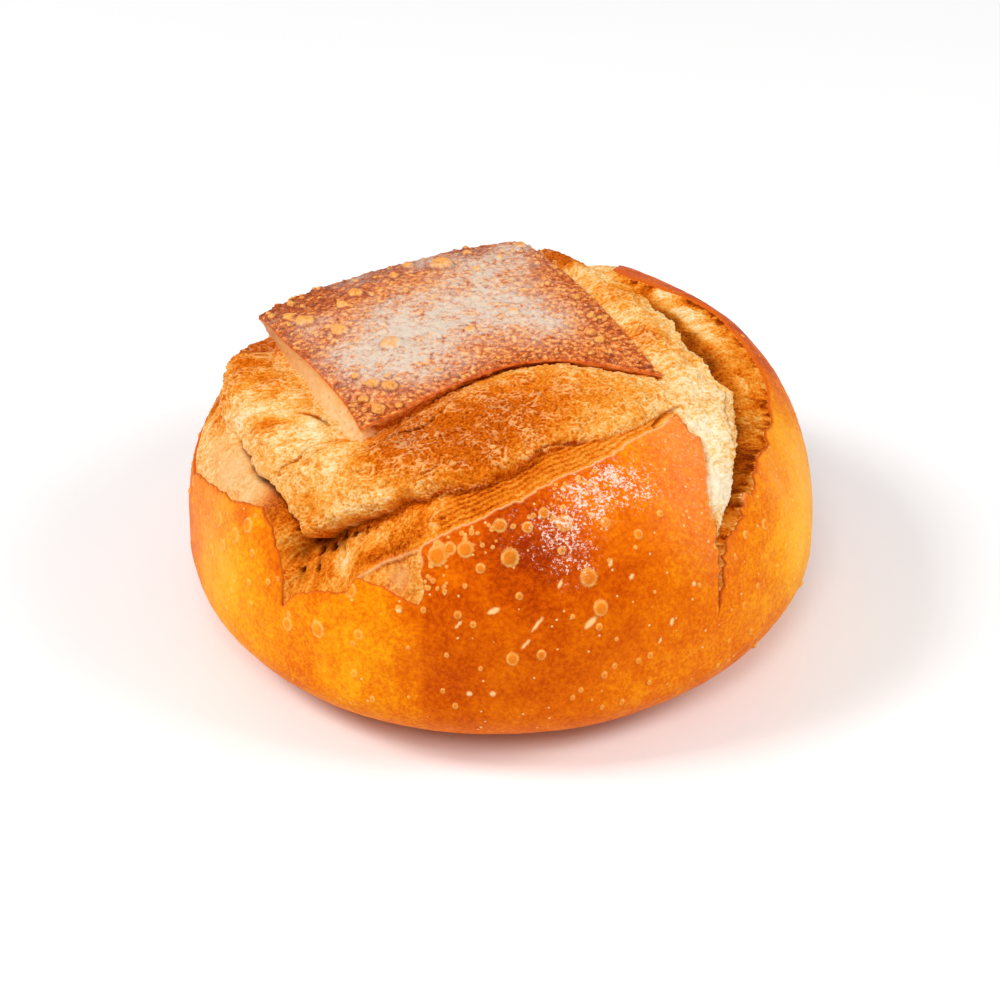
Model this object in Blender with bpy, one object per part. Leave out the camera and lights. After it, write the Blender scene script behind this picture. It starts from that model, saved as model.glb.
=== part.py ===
"""Italian bread: a round crusty loaf, scored before baking with four cuts in a square.

The loaf is one solid, joined from three shapes. The bowl is the smooth outer crust, whose
torn rim forms four petals. The lid is the square of crust between the cuts. The crumb is
what swelled up between lid and petals and tore open there.

A place on the loaf is given as an azimuth in degrees, counted from +X towards +Y, and a
girth in millimetres, the distance over the surface from the crown. The front is at 270
degrees. Drawn on a flat map as polar coordinates, such places give the outlines below.
"""

import math

import bmesh
import bpy
import numpy as np
from mathutils import Matrix, Vector, noise
from mathutils.geometry import delaunay_2d_cdt

# Size of the whole loaf, in millimetres
LOAF_RADIUS = 100.0
LOAF_HEIGHT = 92.8
BELLY_HEIGHT = 26.2
UNDERSIDE_DEPTH = 33.5
UPPER_ROUNDNESS = 2.98
LOWER_ROUNDNESS = 2.3
MILLIMETRE = 0.001

# Where the round form is fuller or slimmer: azimuth and its spread in degrees, height
# and its spread, and how far the side stands out there
FULLNESS = (
    (252.0, 62.0, 0.0, 36.0, 3.8),
    (345.0, 35.0, 30.0, 25.0, 1.8),
    (182.0, 25.0, 62.0, 16.0, -1.4),
)

# Crust: how thick its torn edge is, and how it thickens into the wedge behind the edge
EDGE_THICKNESS = 1.7
WEDGE_THICKNESS = 11.0
WEDGE_LENGTH = 18.0
LIP_LENGTH = 16.0

# Lid: depth of its block, and how far its side walls lean out towards their foot
LID_BLOCK_DEPTH = 16.0
LID_BELOW_STEP = 3.0
LIFT_LENGTH = 20.0

# Crumb: how far it stays below the crust that covers it, and its own unevenness
CRUMB_COVER = 3.4
CRUMB_AT_RIM = 1.9
CRUMB_BULGE = 1.6
BULGE_WIDTH = 13.0
BUMP_HEIGHT = 1.3
BUMP_SIZE = 11.0

# Spacing of the mesh: along outlines, on open crumb, on crust
OUTLINE_STEP = 4.0
CRUMB_STEP = 5.0
LID_STEP = 7.0
CRUST_STEPS = (6.0, 10.0)
HIDDEN_STEP = 14.0

# Torn rim of the bowl, side by side from the left notch: azimuth, girth, lift of the lip
RIM_SIDES = (
    ((229.0, 122.9, 0.0), (232.6, 115.7, 0.3), (241.7, 109.5, 0.6), (243.8, 104.7, 0.8)),
    ((243.8, 104.7, 0.8), (248.3, 105.3, 0.4), (255.7, 109.1, 0.3)),
    ((255.7, 109.1, 0.3), (256.3, 104.1, 0.6), (254.8, 91.9, 1.0)),
    (
        (254.8, 91.9, 1.0), (259.9, 85.5, 1.2), (265.9, 80.8, 1.4), (274.8, 74.7, 1.4),
        (285.2, 69.2, 1.2), (297.3, 66.1, 0.9), (312.0, 63.7, 0.6), (327.3, 64.9, 0.5),
    ),
    (
        (327.3, 64.9, 0.5), (325.0, 72.5, 0.4), (325.7, 75.5, 0.4), (321.8, 81.7, 0.4),
        (316.3, 91.6, 0.3), (314.6, 100.4, 0.2), (312.7, 110.5, 0.1), (311.1, 125.5, 0.0),
    ),
    (
        (311.1, 125.5, 0.0), (313.1, 115.8, 0.2), (313.9, 109.8, 0.4), (317.4, 104.2, 0.6),
        (320.7, 101.8, 0.8), (324.4, 96.9, 1.0),
    ),
    (
        (324.4, 96.9, 1.0), (327.6, 98.0, 0.6), (332.5, 94.4, 0.0), (345.5, 92.7, -1.6),
        (0.0, 92.7, -2.2), (10.0, 93.0, -1.0), (20.0, 93.5, 0.2), (30.0, 91.5, 0.8),
        (38.4, 87.6, 0.4), (47.3, 81.2, -0.8), (56.5, 70.7, -0.4),
    ),
    ((56.5, 70.7, -0.4), (60.0, 84.0, 0.6), (64.0, 104.0, 0.8), (66.0, 120.0, 0.0)),
    (
        (66.0, 120.0, 0.0), (72.0, 108.0, 0.6), (86.0, 101.0, 1.0), (105.0, 98.0, 1.0),
        (125.0, 100.0, 1.0), (140.0, 109.0, 0.6), (147.0, 122.0, 0.0),
    ),
    (
        (147.0, 122.0, 0.0), (156.0, 116.0, 0.4), (168.0, 117.5, 0.4), (183.9, 117.2, 0.4),
        (191.6, 113.2, 0.5), (202.2, 106.1, 0.6), (210.3, 102.7, 0.6), (218.4, 98.0, 0.8),
    ),
    (
        (218.4, 98.0, 0.8), (222.9, 102.3, 0.4), (227.8, 111.8, 0.2), (229.0, 122.9, 0.0),
    ),
)

# Outline of the lid: azimuth, girth, lift of the edge, step down to the crumb, width of
# the crumb's slope up from there, and lean of the side wall
LID_SIDES = (
    (
        (152.0, 92.0, 3.6, 4.5, 12.0, 2.0), (188.0, 60.0, 0.0, 8.5, 20.0, 5.0),
        (210.0, 56.7, 0.0, 8.5, 16.0, 5.0), (226.4, 61.4, 0.4, 7.0, 12.0, 2.0),
    ),
    (
        (226.4, 61.4, 0.4, 7.0, 12.0, 2.0), (232.0, 49.0, 0.2, 7.5, 10.0, 0.5),
        (238.5, 34.6, 0.0, 6.0, 9.0, 0.0), (254.6, 22.3, 0.0, 4.5, 9.0, 0.0),
        (293.0, 16.2, 0.0, 4.0, 9.0, 0.0), (325.7, 22.8, 0.0, 3.5, 8.0, 0.0),
        (334.8, 34.4, 0.0, 3.0, 7.0, 0.0), (341.4, 53.3, 0.2, 2.0, 5.0, 0.5),
    ),
    (
        (341.4, 53.3, 0.2, 2.0, 5.0, 0.5), (354.6, 44.3, 0.0, 2.0, 5.0, 0.5),
        (24.0, 38.7, 0.0, 2.4, 6.0, 0.8), (54.0, 44.4, 0.0, 2.8, 6.0, 0.8),
        (73.0, 57.8, 0.6, 3.0, 6.0, 0.8), (85.0, 77.0, 2.6, 5.0, 8.0, 1.0),
    ),
    (
        (85.0, 77.0, 2.6, 5.0, 8.0, 1.0), (103.0, 72.0, 0.6, 8.0, 16.0, 1.0),
        (122.0, 69.0, 0.0, 8.0, 16.0, 1.0), (140.0, 79.0, 0.8, 8.0, 16.0, 1.0),
        (152.0, 92.0, 3.6, 4.5, 12.0, 2.0),
    ),
)

# Groove round the swollen crumb: azimuth, girth, depth, width of the crumb's rounded edge
GROOVE_SIDES = (
    (
        (326.0, 61.5, 1.6, 3.0), (312.0, 60.0, 1.8, 4.0), (300.0, 58.5, 2.6, 5.0),
        (290.8, 57.5, 3.6, 6.0), (283.6, 58.2, 4.4, 6.0), (275.5, 64.1, 5.4, 7.0),
        (265.3, 70.9, 5.6, 7.0), (256.0, 74.2, 6.0, 7.0), (247.9, 79.8, 8.0, 7.0),
        (239.8, 88.6, 11.0, 6.0), (231.4, 101.2, 14.0, 5.0), (229.6, 104.0, 13.0, 3.0),
    ),
    (
        (229.6, 104.0, 13.0, 3.0), (228.7, 98.1, 10.0, 3.0), (224.5, 94.4, 8.0, 4.0),
        (220.1, 90.7, 6.0, 5.0), (213.0, 92.3, 5.0, 6.0), (207.7, 90.3, 5.0, 6.0),
        (202.3, 87.4, 4.0, 7.0), (190.0, 93.0, 3.5, 8.0), (175.0, 100.0, 3.5, 8.0),
        (160.0, 101.0, 4.0, 8.0), (150.0, 103.0, 5.0, 6.0),
    ),
    (
        (150.0, 103.0, 5.0, 6.0), (130.0, 88.0, 6.0, 6.0), (110.0, 85.0, 6.0, 6.0),
        (92.0, 89.0, 6.0, 6.0), (80.0, 87.0, 6.0, 5.0), (70.0, 74.0, 6.0, 4.0),
        (62.0, 65.0, 7.0, 4.0), (56.0, 60.0, 9.0, 3.0), (39.5, 59.7, 13.0, 2.6),
        (18.2, 57.5, 15.0, 2.6), (1.0, 60.5, 16.0, 2.6), (352.0, 68.9, 16.0, 2.6),
    ),
    (
        (352.0, 68.9, 16.0, 2.6), (349.0, 76.6, 16.0, 2.6), (342.0, 80.0, 16.0, 2.6),
        (335.2, 84.9, 15.0, 2.6), (330.2, 88.2, 14.0, 2.4), (322.3, 96.2, 12.0, 2.2),
        (316.0, 101.4, 9.0, 1.8), (313.4, 109.4, 6.0, 1.4), (311.9, 121.0, 3.0, 1.0),
    ),
    (
        (311.9, 121.0, 3.0, 1.0), (313.1, 110.5, 1.8, 1.0), (315.1, 100.4, 1.8, 1.4),
        (317.1, 91.6, 1.8, 2.0), (322.9, 81.7, 1.8, 2.0), (327.2, 75.5, 1.8, 2.0),
        (327.0, 71.5, 1.8, 2.0), (329.5, 64.2, 1.8, 2.4), (326.0, 61.5, 1.6, 3.0),
    ),
)


def dome_distance(elevation):
    """Distance in mm from the middle of the loaf's widest level to its surface."""
    across = np.abs(np.cos(elevation)) / LOAF_RADIUS
    above = np.abs(np.sin(elevation)) / (LOAF_HEIGHT - BELLY_HEIGHT)
    below = np.abs(np.sin(elevation)) / UNDERSIDE_DEPTH
    upper = (across**UPPER_ROUNDNESS + above**UPPER_ROUNDNESS) ** (-1 / UPPER_ROUNDNESS)
    lower = (across**LOWER_ROUNDNESS + below**LOWER_ROUNDNESS) ** (-1 / LOWER_ROUNDNESS)
    flat_base = BELLY_HEIGHT / np.maximum(-np.sin(elevation), 1e-6)
    return np.where(elevation > 0, upper, np.minimum(lower, flat_base))


def girth_table():
    """Elevations from the crown down to the edge of the flat base, with their girths."""
    elevations = np.linspace(math.pi / 2, -math.pi / 2, 6001)
    reach = dome_distance(elevations) * np.cos(elevations)
    height = BELLY_HEIGHT + dome_distance(elevations) * np.sin(elevations)
    steps = np.hypot(np.diff(reach), np.diff(height))
    girths = np.concatenate([[0.0], np.cumsum(steps)])
    above_base = height > 1e-4
    return elevations[above_base], girths[above_base]


ELEVATIONS, GIRTHS = girth_table()
BASE_GIRTH = float(GIRTHS[-1])


def place(chart, depth):
    """Positions in metres of points of the map, sunk into the loaf by a depth in mm."""
    girth = np.hypot(chart[:, 0], chart[:, 1])
    azimuth = np.arctan2(chart[:, 1], chart[:, 0])
    elevation = np.interp(girth, GIRTHS, ELEVATIONS)
    distance = dome_distance(elevation) - depth
    reach = distance * np.cos(elevation)
    height = BELLY_HEIGHT + distance * np.sin(elevation)
    for direction, spread, level, extent, stand in FULLNESS:
        turn = (np.degrees(azimuth) - direction + 180.0) % 360.0 - 180.0
        weight = np.exp(-((turn / spread) ** 2) - ((height - level) / extent) ** 2)
        reach = reach + stand * weight * np.clip(reach / LOAF_RADIUS, 0, 1)
    places = np.column_stack([reach * np.cos(azimuth), reach * np.sin(azimuth), height])
    return places * MILLIMETRE


def trace(sides, step):
    """A closed outline on the map, smooth along each side and sharp where sides meet.

    Each row holds the two map coordinates and then the side's further values.
    """
    rows = []
    for side in sides:
        table = np.array(side)
        azimuth = np.radians(table[:, 0])
        points = np.column_stack(
            [table[:, 1] * np.cos(azimuth), table[:, 1] * np.sin(azimuth), table[:, 2:]]
        )
        ends = np.vstack([2 * points[0] - points[1], points, 2 * points[-1] - points[-2]])
        for index in range(len(points) - 1):
            before, start, end, after = ends[index : index + 4]
            length = np.hypot(*(end - start)[:2])
            count = max(1, round(length / step))
            for part in np.arange(count) / count:
                tangent_in = 0.5 * (end - before)
                tangent_out = 0.5 * (after - start)
                rows.append(
                    start * (2 * part**3 - 3 * part**2 + 1)
                    + tangent_in * (part**3 - 2 * part**2 + part)
                    + end * (3 * part**2 - 2 * part**3)
                    + tangent_out * (part**3 - part**2)
                )
    return np.array(rows)


def inside(points, loop):
    """Whether each map point lies inside a closed outline."""
    start = loop[:, :2]
    end = np.roll(start, -1, axis=0)
    x, y = points[:, :1], points[:, 1:2]
    crosses = (start[:, 1] > y) != (end[:, 1] > y)
    rise = np.where(end[:, 1] == start[:, 1], 1.0, end[:, 1] - start[:, 1])
    at = start[:, 0] + (y - start[:, 1]) * (end[:, 0] - start[:, 0]) / rise
    return (np.sum(crosses & (x < at), axis=1) % 2).astype(bool)


def nearest(points, loop):
    """Distance from each map point to an outline, and the outline's values there."""
    start = loop[:, :2]
    span = np.roll(start, -1, axis=0) - start
    away = points[:, None, :2] - start
    part = np.clip((away * span).sum(2) / (span**2).sum(1), 0, 1)
    distance = np.linalg.norm(away - part[:, :, None] * span, axis=2)
    index = distance.argmin(axis=1)
    pick = np.arange(len(points))
    share = part[pick, index][:, None]
    values = loop[index, 2:] * (1 - share) + loop[(index + 1) % len(loop), 2:] * share
    return distance[pick, index], values


def ease(value):
    """Smooth step from 0 to 1."""
    value = np.clip(value, 0, 1)
    return value * value * (3 - 2 * value)


def lattice(step, limit):
    """Map points in staggered rows, out to a girth."""
    rows = int(limit / (step * 0.866)) + 1
    columns = int(limit / step) + 1
    row, column = np.mgrid[-rows : rows + 1, -columns : columns + 1]
    x = (column + 0.5 * (row % 2)) * step
    points = np.column_stack([x.ravel(), (row * step * 0.866).ravel()])
    return points[np.hypot(points[:, 0], points[:, 1]) < limit]


def ring(girth, step):
    """Map points round the loaf at one girth."""
    count = round(2 * math.pi * girth / step)
    angle = np.arange(count) * 2 * math.pi / count
    return girth * np.column_stack([np.cos(angle), np.sin(angle)])


def triangulate(loops, points):
    """Triangles between outlines and loose map points, with the outlines kept as edges."""
    edges = []
    stacked = []
    count = 0
    for loop in loops:
        edges += [(count + i, count + (i + 1) % len(loop)) for i in range(len(loop))]
        stacked.append(loop[:, :2])
        count += len(loop)
    stacked.append(points)
    corners = [Vector(corner) for corner in np.vstack(stacked)]
    result = delaunay_2d_cdt(corners, edges, [], 0, 1e-5)
    return np.array([tuple(corner) for corner in result[0]]), np.array(result[2])


def away_from(points, loops, gap):
    """The points that keep a gap to every outline."""
    for loop in loops:
        points = points[nearest(points, loop)[0] > gap]
    return points


def border(faces):
    """Directed edges that only one triangle uses."""
    directed = [(f[i], f[(i + 1) % 3]) for f in faces for i in range(3)]
    known = set(directed)
    return [edge for edge in directed if (edge[1], edge[0]) not in known]


def new_object(name, positions, faces, collection):
    """A mesh object from positions and faces, its normals turned outward."""
    mesh = bpy.data.meshes.new(name)
    mesh.from_pydata([tuple(p) for p in positions], [], [tuple(map(int, f)) for f in faces])
    model = bmesh.new()
    model.from_mesh(mesh)
    bmesh.ops.delete(
        model, geom=[v for v in model.verts if not v.link_faces], context="VERTS"
    )
    bmesh.ops.recalc_face_normals(model, faces=model.faces)
    model.to_mesh(mesh)
    model.free()
    made = bpy.data.objects.new(name, mesh)
    collection.objects.link(made)
    return made


def make_bowl(rim, collection):
    """Outer crust: a shell with a flat base, thin at its torn rim and thick below it."""
    edge = ring(BASE_GIRTH, CRUST_STEPS[1])
    fine = lattice(CRUST_STEPS[0], BASE_GIRTH)
    coarse = lattice(CRUST_STEPS[1], BASE_GIRTH)
    near = nearest(fine, rim)[0] < 2.2 * CRUST_STEPS[0]
    far = nearest(coarse, rim)[0] > 2.6 * CRUST_STEPS[0]
    points = np.vstack([fine[near], coarse[far]])
    points = away_from(points, [rim], 0.55 * OUTLINE_STEP)
    points = points[np.hypot(points[:, 0], points[:, 1]) < BASE_GIRTH - 4.0]
    chart, faces = triangulate([rim, edge], points)
    faces = faces[~inside(chart[faces].mean(axis=1), rim)]
    distance, values = nearest(chart, rim)
    lift = values[:, 0] * np.exp(-((distance / LIP_LENGTH) ** 2))
    thickness = EDGE_THICKNESS + (WEDGE_THICKNESS - EDGE_THICKNESS) * ease(
        distance / WEDGE_LENGTH
    )
    outer = place(chart, -lift)
    inner = place(chart, thickness - lift)
    count = len(chart)
    underneath = [[0.0, 0.0, 0.0], [0.0, 0.0, WEDGE_THICKNESS * MILLIMETRE]]
    solid = [tuple(face) for face in faces]
    solid += [tuple(face[::-1] + count) for face in faces]
    girth = np.hypot(chart[:, 0], chart[:, 1])
    for start, end in border(faces):
        if min(girth[start], girth[end]) > BASE_GIRTH - 1.0:
            solid.append((end, start, 2 * count))
            solid.append((start + count, end + count, 2 * count + 1))
        else:
            solid.append((end, start, start + count, end + count))
    outer[girth > BASE_GIRTH - 0.5, 2] = 0.0
    return new_object("bowl", np.vstack([outer, inner, underneath]), solid, collection)


def make_lid(outline, collection):
    """The square of crust on top, a block whose side walls lean out below."""
    points = away_from(lattice(LID_STEP, 110.0), [outline], 0.5 * LID_STEP)
    chart, faces = triangulate([outline], points[inside(points, outline)])
    faces = faces[inside(chart[faces].mean(axis=1), outline)]
    distance, values = nearest(chart, outline)
    lift, step, _, lean = values.T
    lift = lift * np.exp(-((distance / LIFT_LENGTH) ** 2))
    top = place(chart, -lift)
    middle = chart[inside(chart, outline)].mean(axis=0)
    outward = chart - middle
    outward /= np.linalg.norm(outward, axis=1)[:, None] + 1e-9
    foot = place(chart + outward * lean[:, None], step + LID_BELOW_STEP)
    deep = place(chart - 4.0 * outward, LID_BLOCK_DEPTH)
    centre = place(middle[None], LID_BLOCK_DEPTH)
    count = len(chart)
    solid = [tuple(face) for face in faces]
    for start, end in border(faces):
        solid.append((end, start, start + count, end + count))
        solid.append((end + count, start + count, start + 2 * count, end + 2 * count))
        solid.append((end + 2 * count, start + 2 * count, 3 * count))
    return new_object("lid", np.vstack([top, foot, deep, centre]), solid, collection)


def crumb_depth(chart, rim, outline, groove):
    """How far the crumb lies below the full round of the loaf, in mm."""
    from_lid, lid_values = nearest(chart, outline)
    from_groove, groove_values = nearest(chart, groove)
    from_rim = nearest(chart, rim)[0]
    below_lid = inside(chart, outline)
    swollen = inside(chart, groove)
    open_crumb = inside(chart, rim)
    _, step, slope, lean = lid_values.T
    deep, rounding = groove_values.T
    drop = step * (1 - ease((from_lid - lean) / slope))
    roll = deep * (1 - np.sqrt(1 - (1 - np.clip(from_groove / rounding, 0, 1)) ** 2))
    bulge = CRUMB_BULGE * ease(np.minimum(from_lid, from_groove) / BULGE_WIDTH)
    crown = drop + roll - bulge
    share = from_groove / (from_groove + from_rim + 1e-6)
    wall = deep * (1 - share) + CRUMB_AT_RIM * share
    covered = CRUMB_AT_RIM + (CRUMB_COVER - CRUMB_AT_RIM) * ease(from_rim / 5.0)
    depth = np.where(swollen, crown, np.where(open_crumb, wall, covered))
    depth = np.where(below_lid, step + LID_BELOW_STEP * 0.6, depth)
    bumps = np.array(
        [noise.fractal(Vector((*p, 0.0)) / BUMP_SIZE, 1.0, 2.0, 2) for p in chart]
    )
    calm = ease(np.minimum(from_lid, from_rim) / 6.0) * open_crumb * ~below_lid
    return depth + BUMP_HEIGHT * bumps * calm


def make_crumb(rim, outline, groove, collection):
    """The crumb: fills the bowl, carries the lid, and swells up between the two."""
    edge = ring(BASE_GIRTH, HIDDEN_STEP)
    fine = lattice(CRUMB_STEP, 135.0)
    opened = inside(fine, rim) & ~inside(fine, outline)
    coarse = lattice(HIDDEN_STEP, BASE_GIRTH - 6.0)
    hidden = ~inside(coarse, rim) | inside(coarse, outline)
    points = np.vstack([fine[opened], coarse[hidden]])
    points = away_from(points, [rim, outline, groove], 0.45 * CRUMB_STEP)
    chart, faces = triangulate([rim, outline, groove, edge], points)
    positions = place(chart, crumb_depth(chart, rim, outline, groove))
    bottom = len(chart)
    solid = [tuple(face) for face in faces]
    solid += [(end, start, bottom) for start, end in border(faces)]
    middle = [[0.0, 0.0, CRUMB_COVER * MILLIMETRE]]
    return new_object("crumb", np.vstack([positions, middle]), solid, collection)


def crust_material():
    """Baked crust: golden orange and slightly glossy."""
    material = bpy.data.materials.new("crust")
    material.use_nodes = True
    surface = material.node_tree.nodes["Principled BSDF"]
    surface.inputs["Base Color"].default_value = (0.62, 0.24, 0.045, 1.0)
    surface.inputs["Roughness"].default_value = 0.5
    surface.inputs["Metallic"].default_value = 0.0
    return material


def join_all(loaf, pieces):
    """Join the other shapes to the loaf with one union, then remove them."""
    union = loaf.modifiers.new("union", "BOOLEAN")
    union.operation = "UNION"
    union.operand_type = "COLLECTION"
    union.collection = pieces
    union.solver = "EXACT"
    bpy.context.view_layer.update()
    graph = bpy.context.evaluated_depsgraph_get()
    joined = bpy.data.meshes.new_from_object(loaf.evaluated_get(graph))
    loaf.modifiers.clear()
    loaf.data = joined
    for piece in list(pieces.objects):
        bpy.data.objects.remove(piece, do_unlink=True)
    bpy.data.collections.remove(pieces)


def drop_scraps(loaf):
    """Keep only the largest connected body."""
    model = bmesh.new()
    model.from_mesh(loaf.data)
    bmesh.ops.triangulate(model, faces=model.faces)
    unseen = set(model.verts)
    bodies = []
    while unseen:
        body = [unseen.pop()]
        for vertex in body:
            for edge in vertex.link_edges:
                other = edge.other_vert(vertex)
                if other in unseen:
                    unseen.remove(other)
                    body.append(other)
        bodies.append(body)
    bodies.sort(key=len)
    for body in bodies[:-1]:
        bmesh.ops.delete(model, geom=body, context="VERTS")
    model.to_mesh(loaf.data)
    model.free()


def centre_over_origin(loaf):
    """Move the mesh so that the middle of its outline, seen from above, is the origin."""
    places = np.array([vertex.co for vertex in loaf.data.vertices])
    middle = (places.min(axis=0) + places.max(axis=0)) / 2
    loaf.data.transform(Matrix.Translation((-middle[0], -middle[1], -places[:, 2].min())))


def main():
    for old in list(bpy.data.objects):
        bpy.data.objects.remove(old, do_unlink=True)
    bread = bpy.data.collections.new("italian_bread")
    pieces = bpy.data.collections.new("pieces")
    bpy.context.scene.collection.children.link(bread)
    bpy.context.scene.collection.children.link(pieces)
    rim = trace(RIM_SIDES, OUTLINE_STEP)
    outline = trace(LID_SIDES, OUTLINE_STEP)
    groove = trace(GROOVE_SIDES, OUTLINE_STEP)
    loaf = make_crumb(rim, outline, groove, bread)
    loaf.name = "loaf"
    make_bowl(rim, pieces)
    make_lid(outline, pieces)
    join_all(loaf, pieces)
    drop_scraps(loaf)
    centre_over_origin(loaf)
    loaf.data.materials.clear()
    loaf.data.materials.append(crust_material())
    loaf.data.shade_smooth()
    loaf.data.set_sharp_from_angle(angle=math.radians(40.0))


main()
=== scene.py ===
"""Italian bread: a round crusty loaf, scored before baking with four cuts in a square.

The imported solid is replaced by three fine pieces: the outer crust with its torn rim, the
flour-dusted lid of crust on top, and the torn crumb between them. A place on the loaf is
an azimuth in degrees, counted from +X towards +Y, and a girth in millimetres, the distance
over the surface from the crown. Drawn on a flat map as polar coordinates, such places
give the outlines below. The front is at 270 degrees.
"""

import itertools
import math

import bmesh
import bpy
import numpy as np
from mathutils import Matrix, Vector, kdtree, noise
from mathutils.geometry import delaunay_2d_cdt

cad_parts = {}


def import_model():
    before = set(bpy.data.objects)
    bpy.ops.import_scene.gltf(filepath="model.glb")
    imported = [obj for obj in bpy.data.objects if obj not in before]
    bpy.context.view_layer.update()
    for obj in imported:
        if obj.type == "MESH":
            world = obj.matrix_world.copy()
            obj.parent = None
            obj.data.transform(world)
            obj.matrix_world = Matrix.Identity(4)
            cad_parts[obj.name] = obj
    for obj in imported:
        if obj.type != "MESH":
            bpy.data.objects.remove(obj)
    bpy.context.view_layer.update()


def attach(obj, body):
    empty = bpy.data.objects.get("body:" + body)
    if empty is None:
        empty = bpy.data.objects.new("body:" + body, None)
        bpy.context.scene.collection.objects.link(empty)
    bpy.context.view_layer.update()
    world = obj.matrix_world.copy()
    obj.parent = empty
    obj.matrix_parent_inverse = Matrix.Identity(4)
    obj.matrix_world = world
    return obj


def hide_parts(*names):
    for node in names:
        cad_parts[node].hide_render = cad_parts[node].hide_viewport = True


# Size of the whole loaf, in millimetres
LOAF_RADIUS = 100.0
LOAF_HEIGHT = 92.8
BELLY_HEIGHT = 26.2
UNDERSIDE_DEPTH = 33.5
UPPER_ROUNDNESS = 2.98
LOWER_ROUNDNESS = 2.3
MILLIMETRE = 0.001

# Where the round form is fuller or slimmer: azimuth and its spread in degrees, height
# and its spread, and how far the side stands out there
FULLNESS = (
    (252, 62, 0, 36, 3.8),
    (345, 35, 30, 25, 1.8),
    (182, 25, 62, 16, -1.4),
)

# Crust: how thick its torn edge is, and how it thickens into the wedge behind the edge
EDGE_THICKNESS = 1.3
WEDGE_THICKNESS = 11.0
WEDGE_LENGTH = 18.0
LIP_LENGTH = 16.0
TEAR_SIZE = 0.6

# Rounding of every cut edge of crust, and the rows of its torn wall as shares of its depth
EDGE_ROUNDING = 0.3
ROUNDING_WIDTH = 0.7
TORN_WALL_ROWS = (0.35, 0.7, 1.0)

# Lid: depth of its block, how far under its step the crumb carries it, the length over
# which its raised corners level out, and the rows of its side walls
LID_BLOCK_DEPTH = 16.0
LID_BELOW_STEP = 1.8
LIFT_LENGTH = 20.0
LID_WALL_ROWS = 16

# Crumb: how far it stays below the crust that covers it, and its own unevenness
CRUMB_COVER = 3.4
CRUMB_AT_RIM = 0.8
CRUMB_BULGE = 1.6
BULGE_WIDTH = 13.0
BUMP_HEIGHT = 1.3
BUMP_SIZE = 11.0

# Direction on the map that the torn fibres of the crumb run in, and their stretch
FIBRE_DIRECTION = np.array([0.864, 0.504])
FIBRE_STRETCH = 1.7

# Spacing of the meshes, in millimetres
OUTLINE_STEP = 0.5
LID_STEP = 0.42
CRUMB_STEP = 0.49
CRUST_STEPS = (0.56, 1.0)
HIDDEN_STEPS = (2.6, 9.0)
BACK_CRUMB_STEP = 1.4
INNER_RIM_STEP = 1.8

# Girths that the fine meshes reach, in millimetres
LID_REACH = 110.0
CRUMB_REACH = 128.0
INNER_RIM_REACH = 130.0

# Rings of mesh round each blister: share of its radius, and points in the ring
BLISTER_RINGS = ((0.35, 6), (0.7, 11), (0.92, 15), (1.06, 16))

# Regions of the crust with finer mesh: azimuth from, azimuth to, girth that ends them
FINE_CRUST = (232, 316, 142)
FRONT_CRUST = (176, 360, 168)
RIGHT_CRUST = (0, 40, 120)
BASE_MARGIN = 1.2

# Arcs of the loaf: azimuth from, azimuth to (past 360 where it crosses +X), soft ends
TORN_RIM_ARC = (312, 330, 3)
EAR_ARC = (246, 322, 5)
EAR_DARK_ARC = (255, 296, 8)
BLISTERED_ARC = (190, 345, 10)
LID_BACK_ARC = (100, 150, 15)
LID_CUT_ARC = (150, 226.5, 1.5)
FRAYED_FRONT_ARC = (195, 300, 6)
FRAYED_RIGHT_ARC = (316, 410, 6)
GAP_ARC = (318, 410, 6)
GAP_LOW_ARC = (316, 344, 6)
PIT_ARC = (218, 252, 5)
STRIP_ARC = (259, 336, 4)
FRONT_LIP_ARC = (226, 300, 8)
LEFT_FACE_ARC = (165, 228, 5)
SEAM_AZIMUTH = 256.3

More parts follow.
